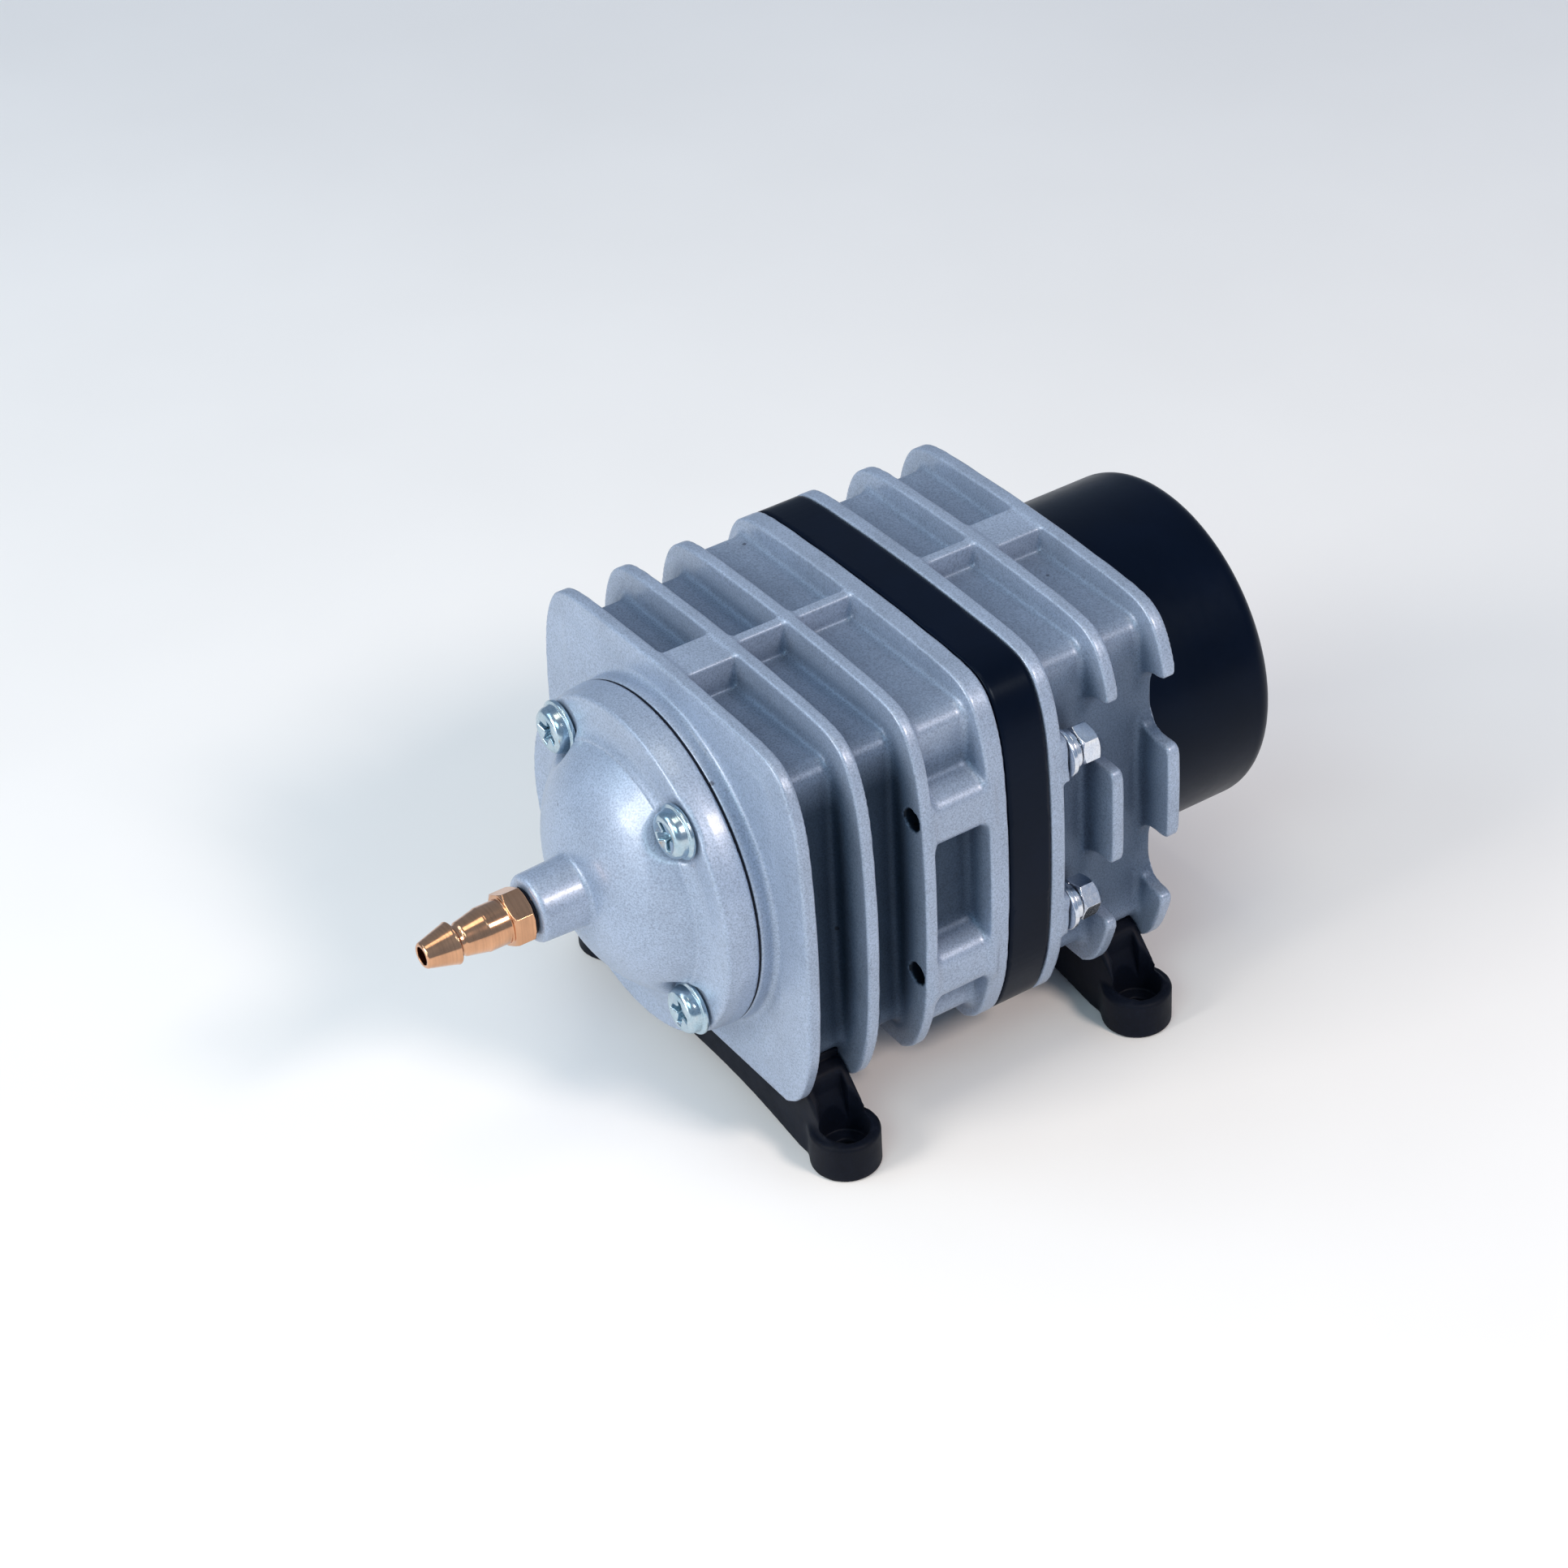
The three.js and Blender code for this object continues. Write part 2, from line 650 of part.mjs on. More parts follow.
function foot(y, saddleTop) {
  const arm = runAlongY(footShape(), y - FOOT_HALF_DEPTH, y + FOOT_HALF_DEPTH);
  const ears = [-EAR_X, EAR_X].map((x) => upright(EAR_R, GROUND, EAR_TOP, x, y, 28));
  const saddle = block([-36, y - FOOT_HALF_DEPTH, -44], [36, y + FOOT_HALF_DEPTH, saddleTop]);
  const screwWells = [-FOOT_SCREW_X, FOOT_SCREW_X].map((x) => join(
    upright(4.6, GROUND - CUT, -47, x, y, 16),
    upright(FOOT_SCREW_HOLE_R, GROUND, -30, x, y, 12),
  ));
  return cut(join(arm, saddle, ...ears), earChannel(-1, y), earChannel(1, y), ...screwWells);
}

function footScrew(x, y) {
  const screw = panScrew(2, 4, -2.6, 0, 17.4).rotate([90, 0, 0]);
  return screw.translate([x, y, -47 - GAP]);
}

// ---------------------------------------------------------------- valves and piston

function portRing(count, pitch, radius, y0, y1) {
  return Array.from({ length: count }, (_, i) => {
    const angle = i * 2 * Math.PI / count;
    return bar(radius, y0, y1, pitch * Math.cos(angle), pitch * Math.sin(angle), 8);
  });
}

function valvePlate() {
  return cut(bar(RECESS_R - GAP, -3.7, -0.7, 0, 0, 28), ...portRing(6, 7, 1.6, -5, 1));
}

function liner() {
  return turned([[LINER_R, 1], [RECESS_R - 0.7, 1], [RECESS_R - 0.7, 3], [LINER_OUT, 3],
    [LINER_OUT, LINER_END], [LINER_R, LINER_END]]);
}

function linerSeal() {
  return turned(arc(21.4, 0.15, 0.7, 0, 300, 5), 24);
}

function piston() {
  const body = turned([
    [0, PISTON_FACE],
    [PISTON_R, PISTON_FACE],
    [PISTON_R, 12.2],
    [16.2, 12.2],
    [16.2, 15.8],
    [PISTON_R, 15.8],
    [PISTON_R, PISTON_END],
    [13.5, PISTON_END],
    [13.5, 15],
    [6, 15],
    [6, PISTON_END],
    [0, PISTON_END],
  ]);
  return cut(
    body,
    ...portRing(6, 9.5, 1.6, 9, 16),
    bar(2.1, PISTON_FACE - CUT, 14.5, 0, 0, 16),
    bar(ROD_R + GAP, 13.7, PISTON_END + CUT),
  );
}

function pistonRing() {
  return turned(ringProfile(16.5, 18.8, 12.5, 15.5));
}

function armature() {
  const body = block([-ARMATURE_HALF, ARMATURE[0], -11], [ARMATURE_HALF, ARMATURE[1], 11]);
  return cut(body, bar(ROD_R + GAP, ARMATURE[0] - CUT, ARMATURE[1] + CUT));
}

function rodBush() {
  return turned([[ROD_R + 0.35, 79.6], [8, 79.6], [8, 81.7], [6, 81.7], [6, 90], [ROD_R + 0.35, 90]], 20);
}

// ---------------------------------------------------------------- electromagnet

// An E-shaped stack of laminations on the +X side, its three poles facing the armature.
function core(side) {
  const [start, end] = CORE;
  const tooth = (y) => block([POLE_FACE, y, -CORE_HEIGHT], [CORE_BACK[0] + 1, y + POLE, CORE_HEIGHT]);
  const stack = join(
    block([CORE_BACK[0], start, -CORE_HEIGHT], [CORE_BACK[1], end, CORE_HEIGHT]),
    tooth(start),
    tooth(start + 2 * POLE),
    tooth(end - POLE),
  );
  const holes = [-CORE_SCREW_Z, CORE_SCREW_Z].map(
    (z) => bar(CORE_SCREW_HOLE_R, start - CUT, end + CUT, CORE_SCREW_X, z, 12),
  );
  const right = cut(stack, ...holes);
  return side > 0 ? right : right.mirror([1, 0, 0]);
}

const poleStart = CORE[0] + 2 * POLE;
const poleCentre = poleStart + POLE / 2;

// A rectangular ring round the middle pole, given by its outer and inner half sizes along Y and Z.
function poleRing(x0, x1, outerY, outerZ, innerY, innerZ) {
  return cut(
    block([x0, poleCentre - outerY, -outerZ], [x1, poleCentre + outerY, outerZ]),
    block([x0 - CUT, poleCentre - innerY, -innerZ], [x1 + CUT, poleCentre + innerY, innerZ]),
  );
}

function bobbin(side) {
  const innerY = POLE / 2 + GAP;
  const innerZ = CORE_HEIGHT + GAP;
  const right = join(
    poleRing(13.2, 14.2, 8.6, 18, innerY, innerZ),
    poleRing(14, 23.2, innerY + 1, innerZ + 1, innerY, innerZ),
    poleRing(23, 24, 8.6, 18, innerY, innerZ),
  );
  return side > 0 ? right : right.mirror([1, 0, 0]);
}

function winding(side) {
  const right = poleRing(14.5, 22.7, 8.2, 17.6, POLE / 2 + 1.6, CORE_HEIGHT + 1.6);
  return side > 0 ? right : right.mirror([1, 0, 0]);
}

function coreScrew(x, z) {
  return panScrew(2, 3.6, -2.6, 0, 40).mirror([0, 1, 0]).translate([x, CORE[1] + GAP, z]);
}

function terminalBlock() {
  const body = block([-13, 68, -32.2], [13, 77, -24]);
  const wells = [-8, 0, 8].map((x) => upright(2.2, -28, -22, x, 72.5, 14));
  return cut(body, ...wells);
}

// The gland for the mains cord, on the hidden -X side, turned from the pump axis on to the X axis.
function cordGland() {
  const body = turned([
    [2.9, 0], [4.7, 0], [4.7, 7.6], [5.2, 7.6], [5.2, 11], [4.9, 14], [4.2, 19], [3.6, 20], [2.9, 20],
  ], 20);
  const grip = runAlongY(hexagon(10.5), 7.6, 11, 0.3);
  const whole = cut(join(body, grip), bar(2.9, -CUT, 21, 0, 0, 20));
  return whole.rotate([0, 0, 90]).translate([-31.5, GLAND_Y, 0]);
}

function glandNut() {
  const nut = cut(runAlongY(hexagon(11), 0, 2), bar(5, -CUT, 3, 0, 0, 20));
  return nut.rotate([0, 0, 90]).translate([-31.7, GLAND_Y, 0]);
}

// ---------------------------------------------------------------- assembly

add("front_housing", frontHousing(), castPaint);
add("rear_housing", rearHousing(), castPaint);
add("centre_spacer", spacer(), blackPlastic);
add("cylinder_head", cylinderHead(), castPaint);
add("head_gasket", headGasket(), blackRubber);
add("outlet_nozzle", nozzle(), brass);
add("nozzle_seal", nozzleSeal(), blackRubber);

atFour(HEAD_SCREW, HEAD_SCREW, (x, z) => [x, z]).forEach(([x, z], i) => {
  const seat = PAD_FACE - GAP;
  const screw = panScrew(HEAD_SCREW_R, SCREW_HEAD_R, seat - 3.6, seat, HEAD_SCREW_END, true);
  add(`head_screw_${i + 1}`, screw.translate([x, 0, z]), zinc);
});

atFour(BOLT_X, BOLT_Z, (x, z) => [x, z]).forEach(([x, z], i) => {
  add(`tie_bolt_${i + 1}`, tieBolt(x, z, BOLT_TURNS[i]), zinc);
  add(`spring_washer_${i + 1}`, springWasher(x, z), zinc);
  add(`flat_washer_${i + 1}`, washer(WASHER_HOLE_R, 5.4, 65.3, 66.4, x, z), zinc);
});

add("rear_cap", rearCap(), blackPlastic);
add("cap_screw", capScrew(), zinc);
add("felt_filter", feltFilter(), felt);

["front", "rear"].forEach((end, i) => {
  const boxUnderside = i === 0 ? -BODY_HEIGHT : -REAR_BODY_HEIGHT;
  add(`${end}_foot`, foot(FOOT_Y[i], boxUnderside - GAP), blackRubber);
  add(`${end}_foot_screw_left`, footScrew(-FOOT_SCREW_X, FOOT_Y[i]), zinc);
  add(`${end}_foot_screw_right`, footScrew(FOOT_SCREW_X, FOOT_Y[i]), zinc);
});

add("valve_plate", valvePlate(), aluminium);
add("outlet_valve", bar(10, -5, -4, 0, 0, 28), siliconeRubber);
add("outlet_spring", coilSpring(5.5, 0.9, -14.7, -5.3, 4), springSteel);
add("liner_seal", linerSeal(), blackRubber);
add("cylinder_liner", liner(), aluminium);
add("piston", piston(), aluminium);
add("piston_ring", pistonRing(), ptfe);
add("inlet_valve", turned(ringProfile(2.3, 12.5, 8.9, 9.8)), siliconeRubber);
add("inlet_valve_screw", panScrew(1.8, 4.5, 6.0, 7.5, 13.4), steel);
add("piston_rod", bar(ROD_R, 14, ROD_END), steel);
add("armature", armature(), lamination);
add("return_spring", coilSpring(6.4, 1.5, ARMATURE[1] + GAP, 79.3, 5), springSteel);
add("rod_bush", rodBush(), bronze);

for (const [name, side] of [["left", -1], ["right", 1]]) {
  add(`core_${name}`, core(side), lamination);
  add(`bobbin_${name}`, bobbin(side), bobbinPlastic);
  add(`winding_${name}`, winding(side), copper);
}

atFour(CORE_SCREW_X, CORE_SCREW_Z, (x, z) => [x, z]).forEach(([x, z], i) => {
  add(`core_screw_${i + 1}`, coreScrew(x, z), steel);
});

add("terminal_block", terminalBlock(), bobbinPlastic);
add("cord_gland", cordGland(), blackPlastic);
add("gland_nut", glandNut(), blackPlastic);

// The pump stands on its feet: the origin is on the ground, under the middle of its length.
const AIR_PUMP_MIDDLE = (NOZZLE_TIP + CAP_END) / 2;
pump.position.set(0, -AIR_PUMP_MIDDLE, -GROUND);

const airPump = new THREE.Group();
airPump.add(pump);

export default airPump;
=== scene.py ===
import json
import math

import bpy
import numpy as np
from mathutils import Matrix, Vector


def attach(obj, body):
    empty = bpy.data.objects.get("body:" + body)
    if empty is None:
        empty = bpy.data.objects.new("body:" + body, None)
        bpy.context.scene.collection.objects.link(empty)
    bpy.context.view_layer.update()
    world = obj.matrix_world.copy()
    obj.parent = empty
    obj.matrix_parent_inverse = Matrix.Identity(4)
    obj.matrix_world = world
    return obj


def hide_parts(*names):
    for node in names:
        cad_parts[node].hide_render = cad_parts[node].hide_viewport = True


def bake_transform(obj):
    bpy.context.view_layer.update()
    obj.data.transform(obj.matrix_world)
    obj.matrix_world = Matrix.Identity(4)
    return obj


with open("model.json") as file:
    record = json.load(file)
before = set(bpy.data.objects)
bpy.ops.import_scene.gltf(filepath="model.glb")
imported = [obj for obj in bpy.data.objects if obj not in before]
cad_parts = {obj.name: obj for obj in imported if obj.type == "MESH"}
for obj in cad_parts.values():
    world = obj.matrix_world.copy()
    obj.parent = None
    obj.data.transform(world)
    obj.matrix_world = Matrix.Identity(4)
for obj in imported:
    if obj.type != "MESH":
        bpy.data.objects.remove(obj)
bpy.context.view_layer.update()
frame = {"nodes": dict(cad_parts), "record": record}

# Looks of an electromagnetic piston air pump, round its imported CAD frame.
#
# Shapes are given in millimetres in the pump's own coordinates: Y is the pump's axis, y = 0 is the
# front face of the first cooling fin, and the nozzle points to -Y. Castings and other rounded pieces
# are distance fields, negative inside, which are meshed where they cross zero.

ROW_ORIGIN = np.array([0.0, -34.05, 58.0])   # where the pump's own origin lies in the row frame, mm
MM = 0.001

GAP = 0.3
GROUND = -58.0
NOZZLE_TIP = -59.8
CAP_END = 127.9

FIN_1 = (0.0, 2.8)
FIN_2 = (14.4, 17.2)
FIN_3 = (28.8, 31.6)
FLANGE_FRONT = (45.0, 49.5)
FLANGE_REAR = (60.3, 63.7)
FIN_4 = (75.9, 78.7)
FIN_5 = (90.3, 93.3)
PLATE_TOP = 44.3
PLATE_BOTTOM = -43.4
PLATE_FOOT = 37.5

BODY = (38.0, 36.5)             # inner boxes: half width, half height
FLANGE_BODY = (41.0, 38.3)
REAR_BODY = (38.5, 38.3)
BODY_CORNER = 3.6
CAVITY = (34.0, 32.5)           # the magnet's space
CAVITY_Y = (35.7, 82.0)
THROAT = (24.0, 27.0)
INNER_CORNER = 4.0
RIB = 2.6
WIDE_RIB = 10.0

SEAT_R = 38.0
SEAT_FACE = -4.0
GASKET_FACE = -4.6
HEAD_SCREW = 22.3               # the head's screws stand this far out, both in X and in Z
HEAD_SCREW_R = 2.4
PAD_FACE = -11.2
PAD_R = 6.5
SCREW_SEAT = PAD_FACE - GAP
SCREW_HEAD_R = 6.0
SCREW_HEAD = 3.7
BOLT = (44.2, 19.5)             # the tie bolts stand at [+-x, +-z]
BOLT_R = 2.2
BOLT_END = 36.0
BOLT_HEAD = (68.6, 72.8)
BOLT_FLATS = 8.0
BOLT_PITCH = 0.8
BOLT_TURNS = (17, -10, 8, 23)   # degrees, as the wrench left them
TAPPED_R = 2.4
WASHER = (65.3, 66.4)
WASHER_HOLE_R = 2.6
WASHER_R = 5.4
SPRING_WASHER = (66.8, 68.2)
SPRING_WASHER_R = 3.45          # to the middle of its wire
NOTCH_R = 8.0
SPIGOT_R = 34.9
POST_R = 5.0
POST_END = 118.0
CAP_R = 37.4
CAP_WALL = 2.2
CAP_EDGE = 4.0
CAP_RECESS = 3.2
CAP_INNER_R = CAP_R - CAP_WALL
NOZZLE_HEXAGON = (-41.2, -36.4)
NOZZLE_FLATS = 11.0
BORE_R = 2.0
GLAND_Y = 69.8
GLAND_FACE = -31.5              # the gland's inner end, along X
GLAND_HEXAGON = (7.6, 11.0)
FOOT_Y = (8.6, 84.5)
FOOT_HALF = 5.5
EAR_X = 45.5
EAR_R = 7.5
EAR_TOP = -49.0
EAR_FLOOR = -54.5
FOOT_SCREW_X = 22.0
FOOT_SCREW_HOLE_R = 2.3
FOOT_SCREW_SEAT = -47.0

FINE = 1.0   # mesh step multiplier
GRID_MARGIN = 1.37      # steps past the box, not a whole number, so that flat faces miss the grid planes
CENTRING = 0.06         # holds a vertex of a flat face to the middle of its crossings
VERTEX_REACH = 0.6      # steps that a vertex may move from that middle


# ---------------------------------------------------------------- distance fields

def length(*parts):
    return np.sqrt(sum(part * part for part in parts))


def union(*fields):
    whole = fields[0]
    for field in fields[1:]:
        whole = np.minimum(whole, field)
    return whole


def without(body, *tools):
    for tool in tools:
        body = np.maximum(body, -tool)
    return body


def smooth_union(a, b, width):
    """Union with a fillet that starts `width` from the corner."""
    blend = np.maximum(width - np.abs(a - b), 0.0) / width
    return np.minimum(a, b) - blend * blend * width / 4


def smooth_without(body, tool, width):
    return -smooth_union(-body, tool, width)


def rounded_meet(a, b, radius):
    """Intersection of two fields, its edge rounded."""
    a, b = a + radius, b + radius
    return length(np.maximum(a, 0), np.maximum(b, 0)) + np.minimum(np.maximum(a, b), 0) - radius


def slab(along, start, end):
    return np.abs(along - (start + end) / 2) - (end - start) / 2


def rounded_rect(x, z, half, radius):
    qx = np.abs(x) - half[0] + radius
    qz = np.abs(z) - half[1] + radius
    return length(np.maximum(qx, 0), np.maximum(qz, 0)) + np.minimum(np.maximum(qx, qz), 0) - radius


def rounded_box(x, y, z, low, high, radius):
    q = [np.abs(p - (a + b) / 2) - (b - a) / 2 + radius for p, a, b in zip((x, y, z), low, high)]
    outside = length(*(np.maximum(side, 0) for side in q))
    return outside + np.minimum(np.maximum(np.maximum(q[0], q[1]), q[2]), 0) - radius


def four_bars(x, z, centre, radius):
    """Four round bars along the pump's axis, at [+-x, +-z]."""
    return length(np.abs(x) - centre[0], np.abs(z) - centre[1]) - radius


def hexagon(x, z, across_flats):
    """A hexagonal bar with corners at the top and bottom."""
    x, z = np.abs(x), np.abs(z)
    return np.maximum(z * math.cos(math.pi / 6) + x * 0.5, x) - across_flats / 2


def catmull_rom(points, steps):
    """A smooth line through points, as a list of points."""
    p = np.array([points[0], *points, points[-1]], float)
    line = []
    for i in range(len(points) - 1):
        a, b, c, d = p[i:i + 4]
        for t in np.arange(steps) / steps:
            line.append(0.5 * (2 * b + (c - a) * t + (2 * a - 5 * b + 4 * c - d) * t ** 2
                               + (3 * b - a - 3 * c + d) * t ** 3))
    return [*map(tuple, line), tuple(points[-1])]


def arc(cx, cy, radius, start, end, steps=8):
    angles = np.radians(np.linspace(start, end, steps + 1))
    return [(cx + radius * math.cos(a), cy + radius * math.sin(a)) for a in angles]


class Outline:
    """The signed distance to a closed outline in a plane, kept in a table and read between its nodes."""

    def __init__(self, points, step=0.2, margin=4.0):
        points = np.array(points, float)
        self.step = step
        self.low = points.min(0) - margin
        counts = np.ceil((points.max(0) + margin - self.low) / step).astype(int) + 2
        u = self.low[0] + step * np.arange(counts[0])[:, None]
        v = self.low[1] + step * np.arange(counts[1])[None, :]
        nearest = np.full((u.size, v.size), np.inf)
        inside = np.zeros(nearest.shape, bool)
        for (au, av), (bu, bv) in zip(points, np.roll(points, -1, axis=0)):
            du, dv = bu - au, bv - av
            if du == 0 and dv == 0:
                continue
            t = np.clip(((u - au) * du + (v - av) * dv) / (du * du + dv * dv), 0, 1)
            nearest = np.minimum(nearest, (u - au - t * du) ** 2 + (v - av - t * dv) ** 2)
            if av != bv:
                crosses = ((av > v) != (bv > v)) & (u < au + du * (v - av) / dv)
                inside ^= crosses
        self.table = np.sqrt(nearest) * np.where(inside, -1.0, 1.0)

    def __call__(self, u, v):
        u, v = np.broadcast_arrays((u - self.low[0]) / self.step, (v - self.low[1]) / self.step)
        over_u = np.maximum(np.maximum(-u, u - self.table.shape[0] + 1.001), 0)
        over_v = np.maximum(np.maximum(-v, v - self.table.shape[1] + 1.001), 0)
        u = np.clip(u, 0, self.table.shape[0] - 1.001)
        v = np.clip(v, 0, self.table.shape[1] - 1.001)
        i, j = u.astype(int), v.astype(int)
        fu, fv = u - i, v - j
        near = self.table[i, j] * (1 - fu) + self.table[i + 1, j] * fu
        far = self.table[i, j + 1] * (1 - fu) + self.table[i + 1, j + 1] * fu
        return near * (1 - fv) + far * fv + self.step * length(over_u, over_v)


# ---------------------------------------------------------------- fields to meshes

def crossed_edges(values, axis):
    """Grid edges along an axis whose ends lie on different sides of the surface."""
    lower = [slice(None)] * 3
    upper = [slice(None)] * 3
    lower[axis], upper[axis] = slice(None, -1), slice(1, None)
    a, b = values[tuple(lower)], values[tuple(upper)]
    place = np.argwhere((a < 0) != (b < 0))
    va, vb = a[tuple(place.T)], b[tuple(place.T)]
    points = place.astype(float)
    points[:, axis] += va / (va - vb)
    return place, points, va < 0


def gradient(field, points, reach):
    x, y, z = points.T
    slope = np.stack([
        field(x + reach, y, z) - field(x - reach, y, z),
        field(x, y + reach, z) - field(x, y - reach, z),
        field(x, y, z + reach) - field(x, y, z - reach),
    ], axis=1)
    return slope / np.maximum(np.linalg.norm(slope, axis=1, keepdims=True), 1e-9)


def contour(field, low, high, step):
    """Dual contouring: vertices and quads of the surface where field is 0, in pump millimetres."""
    low = np.array(low, float) - GRID_MARGIN * step
    counts = np.ceil((np.array(high) + 1.5 * step - low) / step).astype(int) + 1
    axes = [low[a] + step * np.arange(counts[a]) for a in range(3)]
    values = np.array(np.broadcast_to(
        field(axes[0][:, None, None], axes[1][None, :, None], axes[2][None, None, :]), counts))
    values[values == 0] = 1e-6
    strides = np.array([counts[1] * counts[2], counts[2], 1])
    cells, corners, quads = [], [], []
    for axis in range(3):
        place, points, starts_inside = crossed_edges(values, axis)
        u, v = (axis + 1) % 3, (axis + 2) % 3
        around = []
        for du, dv in ((0, 0), (-1, 0), (-1, -1), (0, -1)):
            cell = place.copy()
            cell[:, u] += du
            cell[:, v] += dv
            around.append(cell @ strides)
        ring = np.stack(around, axis=1)
        ring[~starts_inside] = ring[~starts_inside][:, ::-1]
        quads.append(ring)
        cells.append(np.concatenate(around))
        corners.append(np.tile(points, (4, 1)))
    crossing = np.concatenate([c[:len(c) // 4] for c in corners])
    normals = gradient(field, low + step * crossing, 0.08 * step)
    parts = np.split(normals, np.cumsum([len(c) // 4 for c in corners])[:-1])
    normals = np.concatenate([np.tile(part, (4, 1)) for part in parts])
    cells, corners, quads = np.concatenate(cells), np.concatenate(corners), np.concatenate(quads)
    used, cells = np.unique(cells, return_inverse=True)
    total = np.bincount(cells)

    def gathered(weights):
        return np.bincount(cells, weights)

    middle = np.stack([gathered(corners[:, a]) / total for a in range(3)], axis=1)
    offset = ((corners - middle[cells]) * normals).sum(1)
    matrix = np.empty((len(used), 3, 3))
    for a in range(3):
        for b in range(3):
            matrix[:, a, b] = gathered(normals[:, a] * normals[:, b])
    matrix[:, range(3), range(3)] += CENTRING
    pull = np.stack([gathered(normals[:, a] * offset) for a in range(3)], axis=1)
    shift = np.linalg.solve(matrix, pull[:, :, None])[:, :, 0]
    vertices = low + step * (middle + np.clip(shift, -VERTEX_REACH, VERTEX_REACH))
    return vertices, np.searchsorted(used, quads)


def mesh_object(name, vertices, faces, origin=ROW_ORIGIN):
    """A smooth mesh object in metres, from millimetres round an origin."""
    vertices = (np.asarray(vertices, float) + origin) * MM
    mesh = bpy.data.meshes.new(name)
    if isinstance(faces, np.ndarray):
        sides = faces.shape[1]
        mesh.vertices.add(len(vertices))
        mesh.vertices.foreach_set("co", vertices.astype(np.float32).ravel())
        mesh.loops.add(faces.size)
        mesh.loops.foreach_set("vertex_index", faces.astype(np.int32).ravel())
        mesh.polygons.add(len(faces))
        mesh.polygons.foreach_set("loop_start", np.arange(0, faces.size, sides, dtype=np.int32))
        mesh.update(calc_edges=True)
    else:
        mesh.from_pydata(vertices.tolist(), [], faces)
    mesh.validate()
    mesh.polygons.foreach_set("use_smooth", np.full(len(mesh.polygons), True))
    piece = bpy.data.objects.new(name, mesh)
    bpy.context.scene.collection.objects.link(piece)
    return piece


def thin_out(piece, ratio):
    """Merges the mesh's small flat faces."""
    modifier = piece.modifiers.new("thin", "DECIMATE")
    modifier.ratio = ratio
    bpy.context.view_layer.update()
    evaluated = piece.evaluated_get(bpy.context.evaluated_depsgraph_get())
    thinned = bpy.data.meshes.new_from_object(evaluated)
    piece.modifiers.clear()
    piece.data = thinned
    thinned.polygons.foreach_set("use_smooth", np.full(len(thinned.polygons), True))


def place(piece, node, material, slot):
    """Puts a finished piece on the pump's body, in place of a CAD node."""
    piece.data.materials.clear()
    piece.data.materials.append(material)
    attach(piece, "pump_body")
    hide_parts(node)


def exact_normals(piece, vertices, field, reach):
    """Shades a fine mesh by its field's own slope."""
    piece.data.normals_split_custom_set_from_vertices(gradient(field, vertices, reach).tolist())


def cast(node, field, low, high, step, material, slot, keep=1.0, fine=False, shade_to_paint=None):
    """Meshes the field inside a box, thins it to a share of its faces, stores on its vertices how much shade
    to paint if given a field for that, and puts it in the node's place.
    """
    vertices, faces = contour(field, low, high, step * FINE)
    vertices[:, 2] = np.maximum(vertices[:, 2], GROUND)
    piece = mesh_object(f"{node}_look", vertices, faces)
    if fine:
        exact_normals(piece, vertices, field, 0.4 * step)
    if keep < 1:
        thin_out(piece, keep)
    # Stores the painted shade of each vertex, for the paint to darken.
    if shade_to_paint:
        spots = np.empty(len(piece.data.vertices) * 3)
        piece.data.vertices.foreach_get("co", spots)
        x, y, z = (spots.reshape(-1, 3) / MM - ROW_ORIGIN).T
        painted_shade = piece.data.attributes.new("painted_shade", "FLOAT", "POINT")
        painted_shade.data.foreach_set("value", shade_to_paint(x, y, z).astype(np.float32))
    place(piece, node, material, slot)


def copies(node, spots, field, low, high, step, material, slot, turns=(0, 0, 0, 0)):
    """One mesh shown at several [x, z] spots, in place of node_1, node_2 and so on."""
    vertices, faces = contour(field, low, high, step * FINE)
    first = mesh_object(f"{node}_1_look", vertices, faces, origin=0)
    exact_normals(first, vertices, field, 0.4 * step)
    for i, (x, z) in enumerate(spots):
        piece = first
        if i > 0:
            piece = bpy.data.objects.new(f"{node}_{i + 1}_look", first.data)
            bpy.context.scene.collection.objects.link(piece)
        piece.location = Vector((x, 0, z) + ROW_ORIGIN) * MM
        piece.rotation_euler = (0, math.radians(turns[i]), 0)
        place(piece, f"{node}_{i + 1}", material, slot)


# ---------------------------------------------------------------- procedural materials

